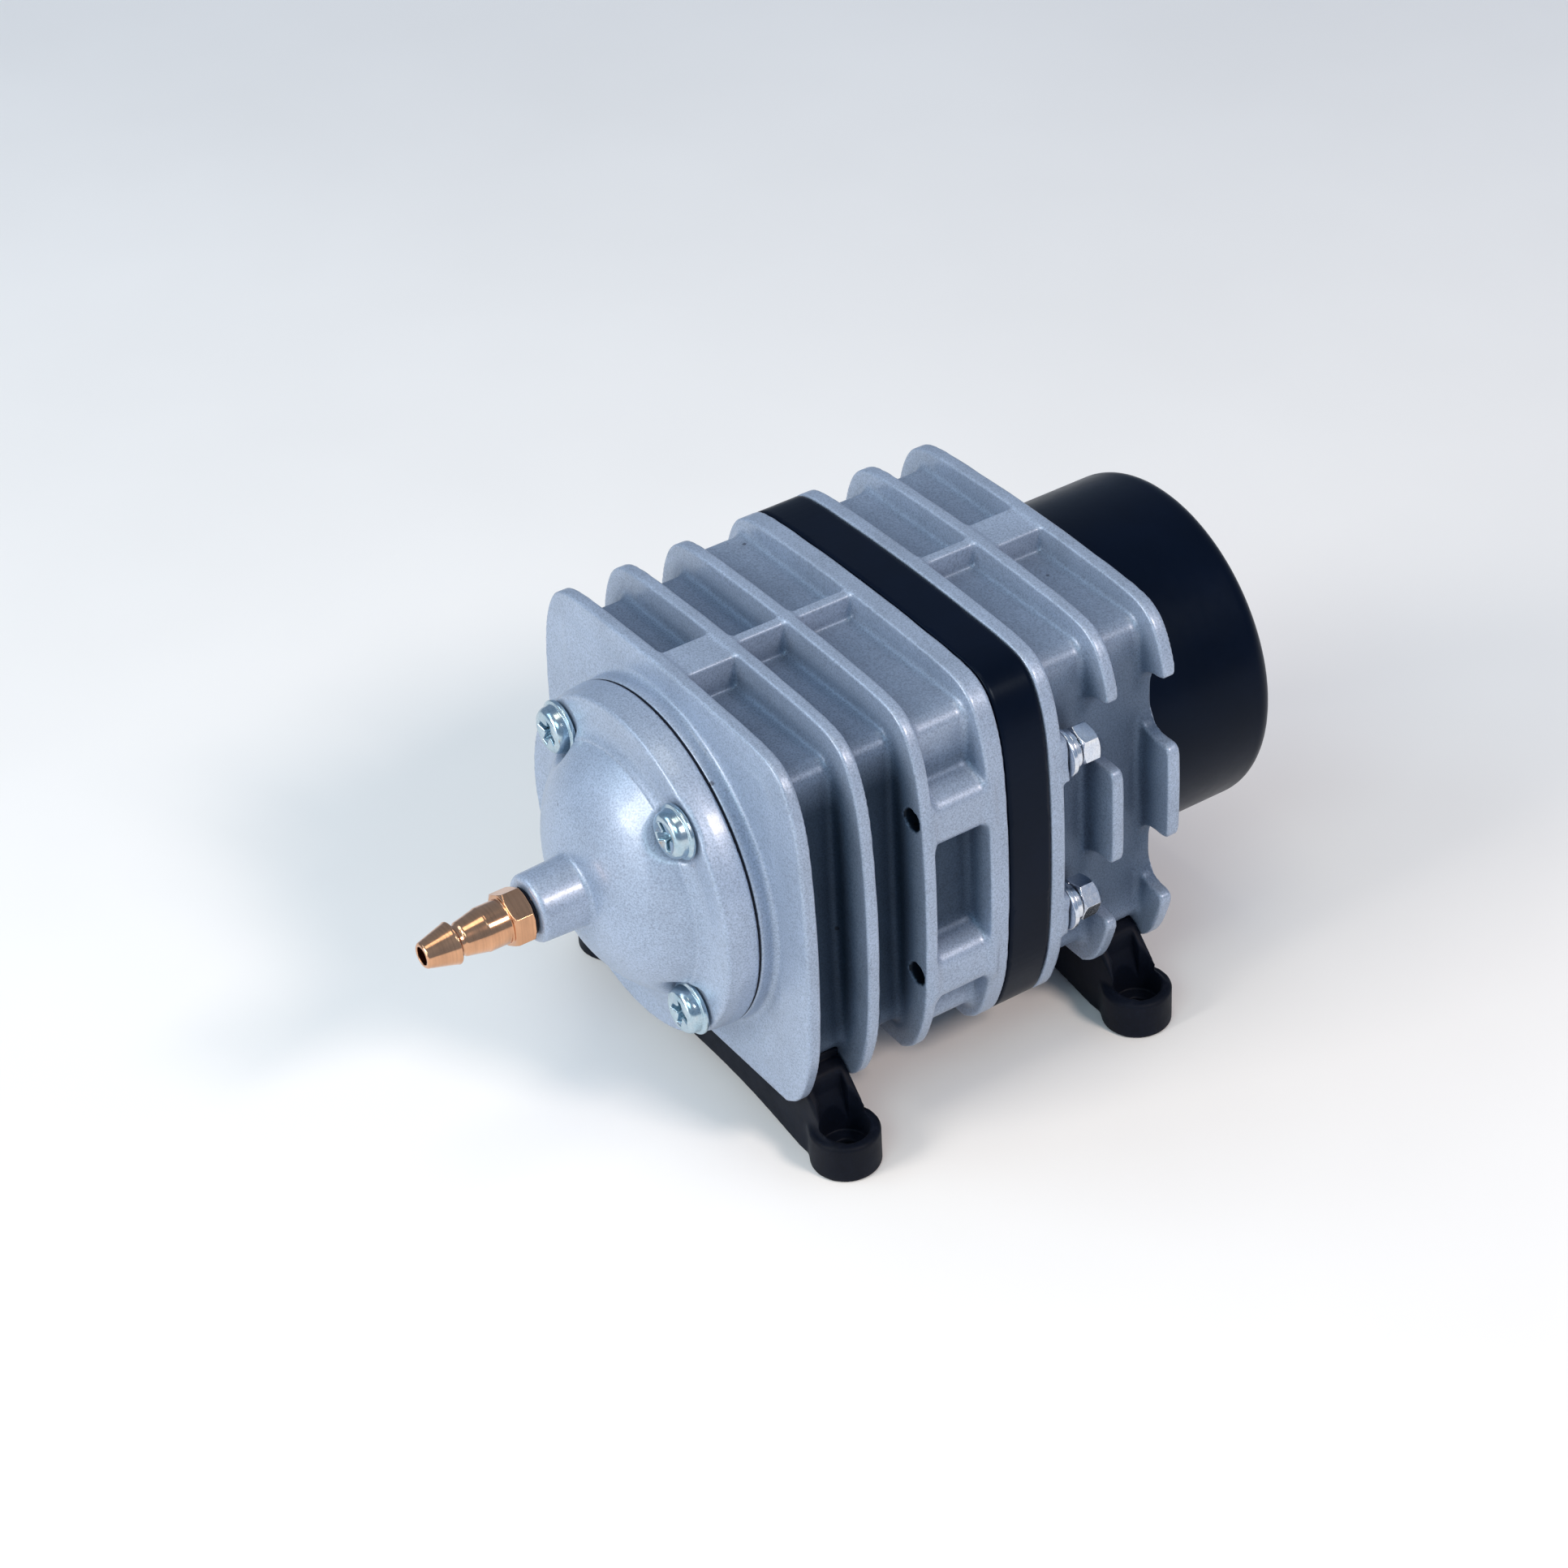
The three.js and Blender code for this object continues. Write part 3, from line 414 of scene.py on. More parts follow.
class Look:
    """A principled material with helpers for its texture nodes. Coordinates are the object's own."""

    def __init__(self, name, color, roughness, metallic=0.0, **inputs):
        self.material = bpy.data.materials.new(name)
        self.material.use_nodes = True
        self.tree = self.material.node_tree
        self.shader = self.tree.nodes["Principled BSDF"]
        self.shader.inputs["Base Color"].default_value = (*color, 1.0)
        self.shader.inputs["Roughness"].default_value = roughness
        self.shader.inputs["Metallic"].default_value = metallic
        for key, value in inputs.items():
            self.shader.inputs[key.replace("_", " ")].default_value = value
        self.place = self.tree.nodes.new("ShaderNodeTexCoord").outputs["Object"]

    def link(self, output, target):
        self.tree.links.new(output, target)

    def scaled(self, x, y, z):
        node = self.tree.nodes.new("ShaderNodeMapping")
        node.inputs["Scale"].default_value = (x, y, z)
        self.link(self.place, node.inputs["Vector"])
        return node.outputs["Vector"]

    def noise(self, scale, detail=3.0, roughness=0.6, vector=None):
        node = self.tree.nodes.new("ShaderNodeTexNoise")
        node.inputs["Scale"].default_value = scale
        node.inputs["Detail"].default_value = detail
        node.inputs["Roughness"].default_value = roughness
        self.link(vector or self.place, node.inputs["Vector"])
        return node.outputs["Fac"]

    def cells(self, scale):
        node = self.tree.nodes.new("ShaderNodeTexVoronoi")
        node.inputs["Scale"].default_value = scale
        self.link(self.place, node.inputs["Vector"])
        return node.outputs["Distance"]

    def waves(self, axis, scale, distortion=0.0):
        node = self.tree.nodes.new("ShaderNodeTexWave")
        node.bands_direction = axis
        node.inputs["Scale"].default_value = scale
        node.inputs["Distortion"].default_value = distortion
        self.link(self.place, node.inputs["Vector"])
        return node.outputs["Fac"]

    def attribute(self, name):
        node = self.tree.nodes.new("ShaderNodeAttribute")
        node.attribute_name = name
        return node.outputs["Fac"]

    def ramp(self, value, *stops):
        """Maps a value to a colour. Each stop is a place from 0 to 1 and a colour or a grey."""
        node = self.tree.nodes.new("ShaderNodeValToRGB")
        elements = node.color_ramp.elements
        while len(elements) < len(stops):
            elements.new(0.5)
        for element, (spot, color) in zip(elements, stops):
            element.position = spot
            rgb = (color, color, color) if isinstance(color, float) else color
            element.color = (*rgb, 1.0)
        self.link(value, node.inputs["Fac"])
        return node.outputs["Color"]

    def mix(self, a, b, blend="MULTIPLY", amount=1.0):
        node = self.tree.nodes.new("ShaderNodeMix")
        node.data_type = "RGBA"
        node.blend_type = blend
        node.inputs["Factor"].default_value = amount
        self.link(a, node.inputs["A"])
        self.link(b, node.inputs["B"])
        return node.outputs["Result"]

    def color(self, output):
        self.link(output, self.shader.inputs["Base Color"])
        return self

    def roughness(self, value, low, high):
        node = self.tree.nodes.new("ShaderNodeMapRange")
        node.inputs["To Min"].default_value = low
        node.inputs["To Max"].default_value = high
        self.link(value, node.inputs["Value"])
        self.link(node.outputs["Result"], self.shader.inputs["Roughness"])
        return self

    def bump(self, *layers):
        """Each layer is a height, its depth in millimetres, and its strength."""
        normal = None
        for height, depth, strength in layers:
            node = self.tree.nodes.new("ShaderNodeBump")
            node.inputs["Distance"].default_value = depth * MM
            node.inputs["Strength"].default_value = strength
            self.link(height, node.inputs["Height"])
            if normal:
                self.link(normal, node.inputs["Normal"])
            normal = node.outputs["Normal"]
        self.link(normal, self.shader.inputs["Normal"])
        return self


def shaded(rgb, factor):
    return tuple(channel * factor for channel in rgb)


def cast_paint():
    """Blue-grey silver paint on blasted cast aluminium: fine speckle, soft mottling, few pits and nicks, with
    shade painted on down between the fins and in the bolt holes.
    """
    base = (0.315, 0.385, 0.505)
    look = Look("cast_paint", base, 0.4, 0.35, Coat_Roughness=0.14)
    mottle = look.ramp(look.noise(60, 4), (0.3, shaded(base, 0.9)), (0.7, shaded(base, 1.1)))
    speckle = look.ramp(look.noise(2600, 2, 0.7), (0.32, 0.72), (0.5, 1.0), (0.68, 1.2))
    pits = look.ramp(look.cells(420), (0.03, 0.45), (0.075, 1.0))
    chips = look.ramp(look.cells(75), (0.03, (0.22, 0.2, 0.22)), (0.045, 1.0))
    paint = look.mix(look.mix(look.mix(mottle, speckle), pits, amount=0.6), chips, amount=0.8)
    # Painted shade from a vertex attribute: darker and cooler down between the fins, nearly black in the bolt
    # holes; the coat and specular fade out there too.
    painted_shade_color = look.ramp(look.attribute("painted_shade"), (0.0, 1.0), (0.45, (0.42, 0.47, 0.52)),
                      (0.85, (0.07, 0.10, 0.13)), (1.0, (0.02, 0.03, 0.04)))
    look.color(look.mix(paint, painted_shade_color))
    coat = look.ramp(look.attribute("painted_shade"), (0.0, 0.3), (0.4, 0.0))
    shine = look.ramp(look.attribute("painted_shade"), (0.0, 0.5), (0.4, 0.12))
    look.link(coat, look.shader.inputs["Coat Weight"])
    look.link(shine, look.shader.inputs["Specular IOR Level"])
    look.roughness(look.noise(900, 3), 0.36, 0.5)
    return look.bump((look.noise(1500, 3, 0.7), 0.05, 0.4), (look.noise(220, 2), 0.12, 0.2)).material


def moulded_plastic(name, color, low, high, grain, shine=0.4):
    look = Look(name, color, 0.4, 0.0, Specular_IOR_Level=shine, Specular_Tint=(0.6, 0.8, 1.0, 1.0))
    look.color(look.ramp(look.noise(45, 4), (0.3, shaded(color, 0.8)), (0.7, shaded(color, 1.25))))
    look.roughness(look.noise(300, 4), low, high)
    return look.bump((look.noise(grain, 2), 0.03, 0.35), (look.noise(30, 1), 0.3, 0.12)).material


def moulded_rubber(name, color):
    look = Look(name, color, 0.6, 0.0, Specular_IOR_Level=0.12, Sheen_Weight=0.01, Sheen_Roughness=0.5)
    bloom = look.ramp(look.noise(70, 5), (0.35, shaded(color, 0.8)), (0.75, shaded(color, 1.7)))
    dust = look.ramp(look.noise(1600, 2), (0.5, 1.0), (0.75, 1.5))
    look.color(look.mix(bloom, dust))
    look.roughness(look.noise(250, 3), 0.45, 0.68)
    return look.bump((look.noise(900, 3), 0.05, 0.4), (look.noise(60, 2), 0.3, 0.2)).material


def turned_metal(name, color, low, high, lines=2200, axis="Y"):
    """Metal with fine lathe lines round its axis and faint stains."""
    look = Look(name, color, 0.2, 1.0, Anisotropic=0.35)
    stain = look.ramp(look.noise(180, 4), (0.3, shaded(color, 0.86)), (0.7, shaded(color, 1.08)))
    stretch = {"Y": (0.02, 1.0, 0.02), "Z": (0.02, 0.02, 1.0), "X": (1.0, 0.02, 0.02)}[axis]
    lathe = look.noise(lines, 2, 0.5, look.scaled(*stretch))
    look.color(look.mix(stain, look.ramp(lathe, (0.3, 0.88), (0.7, 1.06))))
    look.roughness(look.noise(400, 3), low, high)
    return look.bump((lathe, 0.02, 0.3)).material


def plated_zinc(name, blue, warm):
    """Bright zinc with cloudy passivation between two tints."""
    look = Look(name, blue, 0.2, 1.0)
    look.color(look.mix(
        look.ramp(look.noise(350, 3), (0.35, blue), (0.65, warm)),
        look.ramp(look.noise(2500, 2), (0.3, 0.85), (0.6, 1.05))))
    look.roughness(look.noise(700, 3), 0.14, 0.28)
    return look.bump((look.noise(300, 2), 0.01, 0.1)).material


def laminated_steel():
    look = Look("laminated_steel", (0.15, 0.16, 0.18), 0.5, 0.9)
    sheets = look.waves("Z", 320)
    look.color(look.mix(
        look.ramp(look.noise(200, 4), (0.3, (0.11, 0.11, 0.12)), (0.7, (0.2, 0.21, 0.23))),
        look.ramp(sheets, (0.1, 0.35), (0.35, 1.0))))
    look.roughness(look.noise(500, 3), 0.35, 0.6)
    return look.bump((sheets, 0.12, 0.6)).material


def enamelled_wire():
    look = Look("enamelled_wire", (0.39, 0.09, 0.025), 0.25, 0.8, Coat_Weight=0.5, Coat_Roughness=0.1)
    turns = look.waves("X", 400, 0.6)
    look.color(look.mix(
        look.ramp(look.noise(150, 3), (0.3, (0.3, 0.06, 0.015)), (0.7, (0.5, 0.14, 0.04))),
        look.ramp(turns, (0.05, 0.25), (0.4, 1.0))))
    look.roughness(look.noise(300, 2), 0.18, 0.34)
    return look.bump((turns, 0.2, 0.8)).material


def pressed_felt():
    look = Look("pressed_felt", (0.69, 0.68, 0.62), 0.95, 0.0, Sheen_Weight=0.4, Sheen_Roughness=0.6)
    fibres = look.noise(1400, 6, 0.75)
    look.color(look.ramp(fibres, (0.25, (0.45, 0.44, 0.4)), (0.7, (0.78, 0.77, 0.7))))
    look.roughness(fibres, 0.85, 1.0)
    return look.bump((fibres, 0.5, 0.8)).material


PAINT = cast_paint()
BLACK_PLASTIC = moulded_plastic("black_plastic", (0.0014, 0.0035, 0.011), 0.24, 0.38, 1200, 0.1)
WHITE_PLASTIC = moulded_plastic("bobbin_nylon", (0.69, 0.66, 0.55), 0.4, 0.55, 900)
PTFE = moulded_plastic("piston_ptfe", (0.8, 0.78, 0.72), 0.4, 0.6, 700)
RUBBER = moulded_rubber("black_rubber", (0.002, 0.0035, 0.0085))
SILICONE = moulded_rubber("red_silicone", (0.33, 0.04, 0.025))
BRASS = turned_metal("turned_brass", (0.66, 0.36, 0.21), 0.12, 0.22)
STEEL = turned_metal("ground_steel", (0.42, 0.44, 0.46), 0.15, 0.3)
ALUMINIUM = turned_metal("turned_aluminium", (0.62, 0.65, 0.67), 0.22, 0.4, 1500)
BRONZE = turned_metal("sintered_bronze", (0.33, 0.14, 0.04), 0.35, 0.55, 900)
WIRE = turned_metal("spring_wire", (0.27, 0.28, 0.3), 0.18, 0.34, 600, "X")
ZINC = plated_zinc("blue_zinc", (0.38, 0.52, 0.61), (0.52, 0.62, 0.68))
BRIGHT_ZINC = plated_zinc("bright_zinc", (0.66, 0.72, 0.82), (0.80, 0.82, 0.86))
LAMINATION = laminated_steel()
COPPER = enamelled_wire()
FELT = pressed_felt()

BY_SLOT = {
    "housing_paint": PAINT, "black_plastic": BLACK_PLASTIC, "black_rubber": RUBBER, "brass": BRASS,
    "zinc_plate": ZINC, "steel": STEEL, "spring_steel": WIRE, "bare_aluminium": ALUMINIUM,
    "bronze": BRONZE, "lamination": LAMINATION, "enamelled_copper": COPPER,
    "bobbin_plastic": WHITE_PLASTIC, "ptfe": PTFE, "silicone_rubber": SILICONE, "felt": FELT,
}
for part in frame["record"]["subparts"]:
    mesh = frame["nodes"][part["node"]].data
    mesh.materials.clear()
    mesh.materials.append(BY_SLOT[part["material_slot"]])


# ---------------------------------------------------------------- castings

FILLET = 2.2
FIN_EDGE = 0.6
FIN_DRAFT = 0.02
RIB_DRAFT = 0.03
TOP_SHADE = 0.45        # how much shade is painted between the fins on top, from 0 to 1
# how much shade is painted down the sides, in the front and the rear housing
FRONT_SIDE_SHADE = 0.85
REAR_SIDE_SHADE = 0.6

right_side = [(41.4, -40.6), (44.3, -35.4), (46.9, -26.5), (48.1, -13), (48.4, 1), (48.0, 15),
              (46.8, 27.5), (44.2, 36), (40.4, 41), (34, 43.1), (18, 43.95)]
left_side = [(-x, z) for x, z in reversed(right_side)]
plate_line = catmull_rom([(PLATE_FOOT, PLATE_BOTTOM), *right_side, (0, PLATE_TOP), *left_side,
                          (-PLATE_FOOT, PLATE_BOTTOM)], 6)
PLATE = Outline(plate_line)


def fin(outline, y, span):
    """A plate whose faces lean in slightly towards a rounded edge."""
    lean = FIN_DRAFT * np.clip(-outline, 0, 10)
    return rounded_meet(outline, slab(y, *span) - lean, FIN_EDGE)


def inner_box(x, y, z, half, start, end):
    return rounded_meet(rounded_rect(x, z, half, BODY_CORNER), slab(y, start, end), 0.4)


def rib(x, y, z, width, start, end, low, high):
    """A rib above or below the body, thinner towards its outer edge."""
    lean = RIB_DRAFT * np.clip(high - z if low > 0 else z - low, 0, 8)
    box = rounded_rect(x, z - (low + high) / 2, (width / 2, (high - low) / 2), 0.5) - lean
    return np.maximum(box, slab(y, start, end))


def bolt_bosses(x, y, z):
    """Blocks round the tie bolts between two plates: flat below, sloping away on top."""
    x = np.abs(x)
    bosses = []
    for centre, outer_face in ((BOLT[1], 47.8), (-BOLT[1], 47.5)):
        up = z - centre
        slope = (x - 39) * 0.43 + (up - 7) * 0.9
        crown = smooth_without(x - outer_face, -slope, 2.2)
        block = smooth_without(crown, up + 7.2, 3.5)
        bosses.append(np.maximum(np.maximum(block, 34 - x), slab(y, FIN_3[1] - 1, FLANGE_FRONT[0] + 1)))
    return union(*bosses)


def bar(x, y, z, radius, start, end):
    return np.maximum(length(x, z) - radius, slab(y, start, end))


def foot_screw_holes(x, y, z, centre):
    hole = length(np.abs(x) - FOOT_SCREW_X, y - centre) - FOOT_SCREW_HOLE_R
    return np.maximum(hole, slab(z, GROUND, -29))


def front_housing(x, y, z):
    outline = PLATE(x, z)
    plates = union(*(fin(outline, y, span) for span in (FIN_1, FIN_2, FIN_3, FLANGE_FRONT)))
    middle = sum(FIN_3) / 2
    boxes = union(inner_box(x, y, z, BODY, 1, middle), inner_box(x, y, z, FLANGE_BODY, middle, 48.5))
    seat = rounded_meet(length(x, z) - SEAT_R, slab(y, SEAT_FACE, 2), 0.5)
    body = smooth_union(smooth_union(plates, boxes, FILLET), seat, 1.4)
    ribs = union(
        rib(x, y, z, WIDE_RIB, 1, FIN_2[0] + 1, BODY[1] - 2, PLATE_TOP - 0.5),
        rib(x, y, z, RIB, FIN_2[0] + 1, FLANGE_FRONT[0] + 1, BODY[1] - 2, PLATE_TOP - 0.5),
        rib(x, y, z, RIB, FIN_2[0] + 1, FLANGE_FRONT[0] + 1, PLATE_BOTTOM + 0.5, -BODY[1] + 2))
    body = smooth_union(smooth_union(body, ribs, 1.1), bolt_bosses(x, y, z), 1.8)
    throat = np.maximum(rounded_rect(x, z, THROAT, INNER_CORNER), slab(y, 22, CAVITY_Y[0] + 1))
    core_screws = np.maximum(four_bars(x, z, (27.9, 8), 2.3), slab(y, 23, CAVITY_Y[0] + 1))
    head_screws = np.maximum(four_bars(x, z, (HEAD_SCREW, HEAD_SCREW), HEAD_SCREW_R + GAP), y - 11)
    bolt_holes = np.maximum(four_bars(x, z, BOLT, TAPPED_R), FIN_3[0] - 2 - y)
    bolt_mouths = four_bars(x, z, BOLT, TAPPED_R) + np.abs(y - FIN_3[0]) - 0.4
    return without(
        body,
        bar(x, y, z, 24.3, SEAT_FACE - 1, 3.3),
        bar(x, y, z, 21.3, 0, 23),
        throat,
        np.maximum(rounded_rect(x, z, CAVITY, INNER_CORNER), CAVITY_Y[0] - y),
        head_screws, bolt_holes, bolt_mouths, core_screws,
        foot_screw_holes(x, y, z, FOOT_Y[0]))


def rear_housing(x, y, z):
    outline = PLATE(x, z)
    ax, az = np.abs(x) - BOLT[0], np.abs(z) - BOLT[1]
    notch = union(length(ax, az) - NOTCH_R, np.maximum(np.abs(az) - NOTCH_R + 0.6, -ax))
    notched = smooth_without(outline, notch, 3.0)
    plates = union(fin(notched, y, FIN_4), fin(notched, y, FIN_5), fin(outline, y, FLANGE_REAR))
    box = inner_box(x, y, z, REAR_BODY, FLANGE_REAR[0] + 1, FIN_5[1] - 0.2)
    body = smooth_union(plates, box, FILLET)
    seats = rounded_meet(length(ax, az) - 5.9, slab(y, FLANGE_REAR[1] - 1, FLANGE_REAR[1] + 1.3), 0.3)
    seats = np.maximum(seats, outline)
    ribs = union(
        rib(x, y, z, RIB, FLANGE_REAR[0] + 1, FIN_4[0] + 1, REAR_BODY[1] - 2, PLATE_TOP - 0.5),
        rib(x, y, z, WIDE_RIB, FIN_4[0] + 1, FIN_5[0] + 1, REAR_BODY[1] - 2, PLATE_TOP - 0.5),
        rib(x, y, z, RIB, FLANGE_REAR[0] + 1, FIN_4[0] + 1, PLATE_BOTTOM + 0.5, -REAR_BODY[1] + 2))
    body = smooth_union(smooth_union(body, ribs, 1.1), seats, 0.8)
    radius = length(x, z)
    spigot = rounded_meet(np.abs(radius - SPIGOT_R + 1.2) - 1.2, slab(y, FIN_5[1] - 2, 98), 0.5)
    post = rounded_meet(radius - POST_R, slab(y, FIN_5[1] - 2, POST_END), 0.5)
    body = smooth_union(body, union(spigot, post), 0.8)
    intake = np.maximum(four_bars(x, z, (14.14, 14.14), 5), CAVITY_Y[1] - 1 - y)
    bolt_holes = np.maximum(four_bars(x, z, BOLT, BOLT_R + GAP), y - FLANGE_REAR[1] - 2)
    gland = np.maximum(length(y - GLAND_Y, z) - 5, slab(x, -41, -32))
    return without(
        body,
        np.maximum(rounded_rect(x, z, CAVITY, INNER_CORNER), y - CAVITY_Y[1]),
        bar(x, y, z, 6.3, CAVITY_Y[1] - 1, 90.3),
        bar(x, y, z, 4, 90, 92),
        bar(x, y, z, 2.3, 104, POST_END + 2),
        np.maximum(intake, y - 94.5), bolt_holes, gland,
        foot_screw_holes(x, y, z, FOOT_Y[1]))


rim = catmull_rom([(33, PAD_FACE), (31, -11.3), (29.5, -11.8), (28.2, -12.7)], 4)
dome = catmull_rom([(28.1, -12.4), (26.6, -14.1), (23, -17.8), (19, -20.6), (15, -22.6), (11.5, -23.8),
                    (9.2, -24.3)], 6)[2:]   # its first two points lie behind the rim's end
HEAD_PROFILE = Outline([
    (SEAT_R, GASKET_FACE), (37.9, -6), (37.7, -8), (37.3, -10.0), *arc(36.3, -10.3, 0.9, 10, -90, 6),
    *rim, *dome, *arc(8.9, -25.5, 1.2, 90, 178, 5),
    (7.4, -34.2), *arc(6.2, -34.2, 1.2, 0, -90, 6), (4.2, -35.4), (4.2, -25.5), (2.4, -24), (2.4, -15),
    (8.2, -15), (8.2, -18.5), (13, -18.5), (18, -14.5), (21, -10), (21, GASKET_FACE),
], 0.12)


def cylinder_head(x, y, z):
    body = HEAD_PROFILE(length(x, z), y)
    around = four_bars(x, z, (HEAD_SCREW, HEAD_SCREW), 0)
    pockets = rounded_meet(around - PAD_R, y - PAD_FACE, 0.5)
    body = smooth_without(body, pockets, 1.3)
    return without(body, np.maximum(around - HEAD_SCREW_R - GAP, PAD_FACE - 2 - y))


def head_gasket(x, y, z):
    faces = slab(y, GASKET_FACE + 0.02, SEAT_FACE - 0.02)
    ring = rounded_meet(np.abs(length(x, z) - 31.2) - 6.7, faces, 0.15)
    return without(ring, four_bars(x, z, (HEAD_SCREW, HEAD_SCREW), HEAD_SCREW_R + GAP))


def centre_spacer(x, y, z):
    frame_outline = PLATE(x, z) + 0.1
    ring = rounded_meet(frame_outline, slab(y, FLANGE_FRONT[1] + GAP, FLANGE_REAR[0] - GAP), 0.35)
    return without(ring, rounded_rect(x, z, CAVITY, INNER_CORNER), four_bars(x, z, BOLT, BOLT_R + GAP))


def between_fins(start, end, side_shade):
    """How much shade to paint on a spot of a housing, from 0 to 1: more the deeper it lies between its fins,
    and the most in a bolt hole.
    """
    def shade_to_paint(x, y, z):
        depth = np.clip((-PLATE(x, z) - 1.5) / 7, 0, 1)
        depth = depth * depth * (3 - 2 * depth)
        side = np.clip((np.abs(x) - 30) / 6, 0, 1) * np.clip((37 - z) / 11, 0, 1)
        depth = depth * (TOP_SHADE + (side_shade - TOP_SHADE) * side)
        depth = np.where((y > start + 0.1) & (y < end - 0.1), depth, 0)
        # The bolt holes get the full painted shade, nearly black.
        holes = (four_bars(x, z, BOLT, TAPPED_R + 0.25) < 0) & (np.abs(y - FIN_3[0] - 3) < 3.2)
        return np.where(holes, 1.0, depth)
    return shade_to_paint


cast("front_housing", front_housing, (-49, -4.2, -44), (49, 49.8, 45), 0.46, PAINT, "housing_paint",
     keep=0.36, shade_to_paint=between_fins(FIN_1[0], FLANGE_FRONT[1], FRONT_SIDE_SHADE))
cast("rear_housing", rear_housing, (-49, 60, -44), (49, 118.4, 45), 0.46, PAINT, "housing_paint",
     keep=0.36, shade_to_paint=between_fins(FLANGE_REAR[0], FIN_5[1], REAR_SIDE_SHADE))
cast("cylinder_head", cylinder_head, (-38.2, -35.6, -38.2), (38.2, -4.4, 38.2), 0.5, PAINT, "housing_paint",
     fine=True)
cast("head_gasket", head_gasket, (-38.1, -4.7, -38.1), (38.1, -3.9, 38.1), 0.22, RUBBER, "black_rubber",
     keep=0.4)
cast("centre_spacer", centre_spacer, (-49, 49.6, -44), (49, 60.2, 45), 0.55, BLACK_PLASTIC, "black_plastic",
     keep=0.4)


# ---------------------------------------------------------------- rear cap and feet

CAP_PROFILE = Outline([
    (CAP_INNER_R, FIN_5[1] + GAP), (CAP_R - 0.4, FIN_5[1] + GAP), (CAP_R, FIN_5[1] + GAP + 0.4),
    (CAP_R, CAP_END - CAP_EDGE), *arc(CAP_R - CAP_EDGE, CAP_END - CAP_EDGE, CAP_EDGE, 0, 90, 12)[1:],
    (7, CAP_END), (5.6, CAP_END - 0.6), (5.4, CAP_END - CAP_RECESS), (2.5, CAP_END - CAP_RECESS),
    (2.5, POST_END + GAP), (7, POST_END + GAP), (7, CAP_END - CAP_WALL - 2.4),
    (CAP_INNER_R - 3, CAP_END - CAP_WALL), (CAP_INNER_R, CAP_END - CAP_WALL - 3),
])


def rear_cap(x, y, z):
    """A moulded cap with eight air slots round its end."""
    radius = length(x, z)
    body = CAP_PROFILE(radius, y)
    turn_to_slot = np.arctan2(z, x) % (math.pi / 4) - math.pi / 8
    along, across = radius * np.cos(turn_to_slot), radius * np.sin(turn_to_slot)
    slots = np.maximum(rounded_rect(along - 22, across, (5.5, 1.3), 1.2), CAP_END - 6 - y)
    return smooth_without(body, slots, 0.5)


foot_half = [(36.5, -38.6), (38.5, -39.5), (47, EAR_TOP + 0.6), (49.5, EAR_TOP), (49.5, GROUND), (36, GROUND)]
foot_arch = catmull_rom([(36, GROUND), (18, GROUND + 2.7), (0, GROUND + 3.5), (-18, GROUND + 2.7),
                         (-36, GROUND)], 8)
FOOT = Outline([*foot_half, *foot_arch[1:-1], *((-px, pz) for px, pz in reversed(foot_half))])


def foot(centre, saddle_top):
    """The field of a rubber foot across the pump at y = centre, with a screw ear at each end."""
    def field(x, y, z):
        ax, ay = np.abs(x), y - centre
        arm = rounded_meet(FOOT(x, z), np.abs(ay) - FOOT_HALF, 0.7)
        ear = rounded_meet(length(ax - EAR_X, ay) - EAR_R, slab(z, GROUND, EAR_TOP), 0.8)
        saddle = rounded_box(x, ay, z, (-36, -FOOT_HALF, -44), (36, FOOT_HALF, saddle_top), 0.5)
        body = smooth_union(union(arm, saddle), ear, 1.2)
        channel = np.maximum(np.abs(ay) - FOOT_HALF + 1.9,
                             np.maximum(np.maximum(39.2 - ax, EAR_FLOOR - z), ax - EAR_X))
        channel = np.maximum(channel, 42.4 - ax - 0.305 * (z - EAR_FLOOR))
        well = np.maximum(length(ax - EAR_X, ay) - EAR_R + 2.2, EAR_FLOOR - z)
        hole = length(ax - EAR_X, ay) - 2.3
        screw_well = np.maximum(length(ax - FOOT_SCREW_X, ay) - 4.6, z - FOOT_SCREW_SEAT)
        screw_hole = length(ax - FOOT_SCREW_X, ay) - FOOT_SCREW_HOLE_R
        body = smooth_without(body, union(channel, well), 0.5)
        return without(body, hole, screw_well, screw_hole)
    return field


cast("rear_cap", rear_cap, (-37.6, 93.4, -37.6), (37.6, 128.1, 37.6), 0.55, BLACK_PLASTIC, "black_plastic",
     keep=0.6)
for end, centre, top in (("front", FOOT_Y[0], -36.8), ("rear", FOOT_Y[1], -38.6)):
    cast(f"{end}_foot", foot(centre, top), (-53.2, centre - 7.7, GROUND - 0.2),
         (53.2, centre + 7.7, top + 0.2), 0.4, RUBBER, "black_rubber", keep=0.6)


# ---------------------------------------------------------------- screws, bolts, washers, nozzle

def pan_head(radius, face, seat):
    """Profile of a screw head: a rounded crown, dished on top, over a thin flange."""
    rise = seat - face
    crown = catmull_rom([(0, 0.12), (0.28, 0.08), (0.5, 0.01), (0.6, 0), (0.74, 0.09), (0.83, 0.3),
                         (0.86, 0.55), (0.87, 0.7)], 5)
    flange = [(0.93, 0.74), (0.985, 0.78), (1.0, 0.84), (1.0, 0.95), (0.985, 1.0)]
    return [(r * radius, face + d * rise) for r, d in [*crown, *flange]]


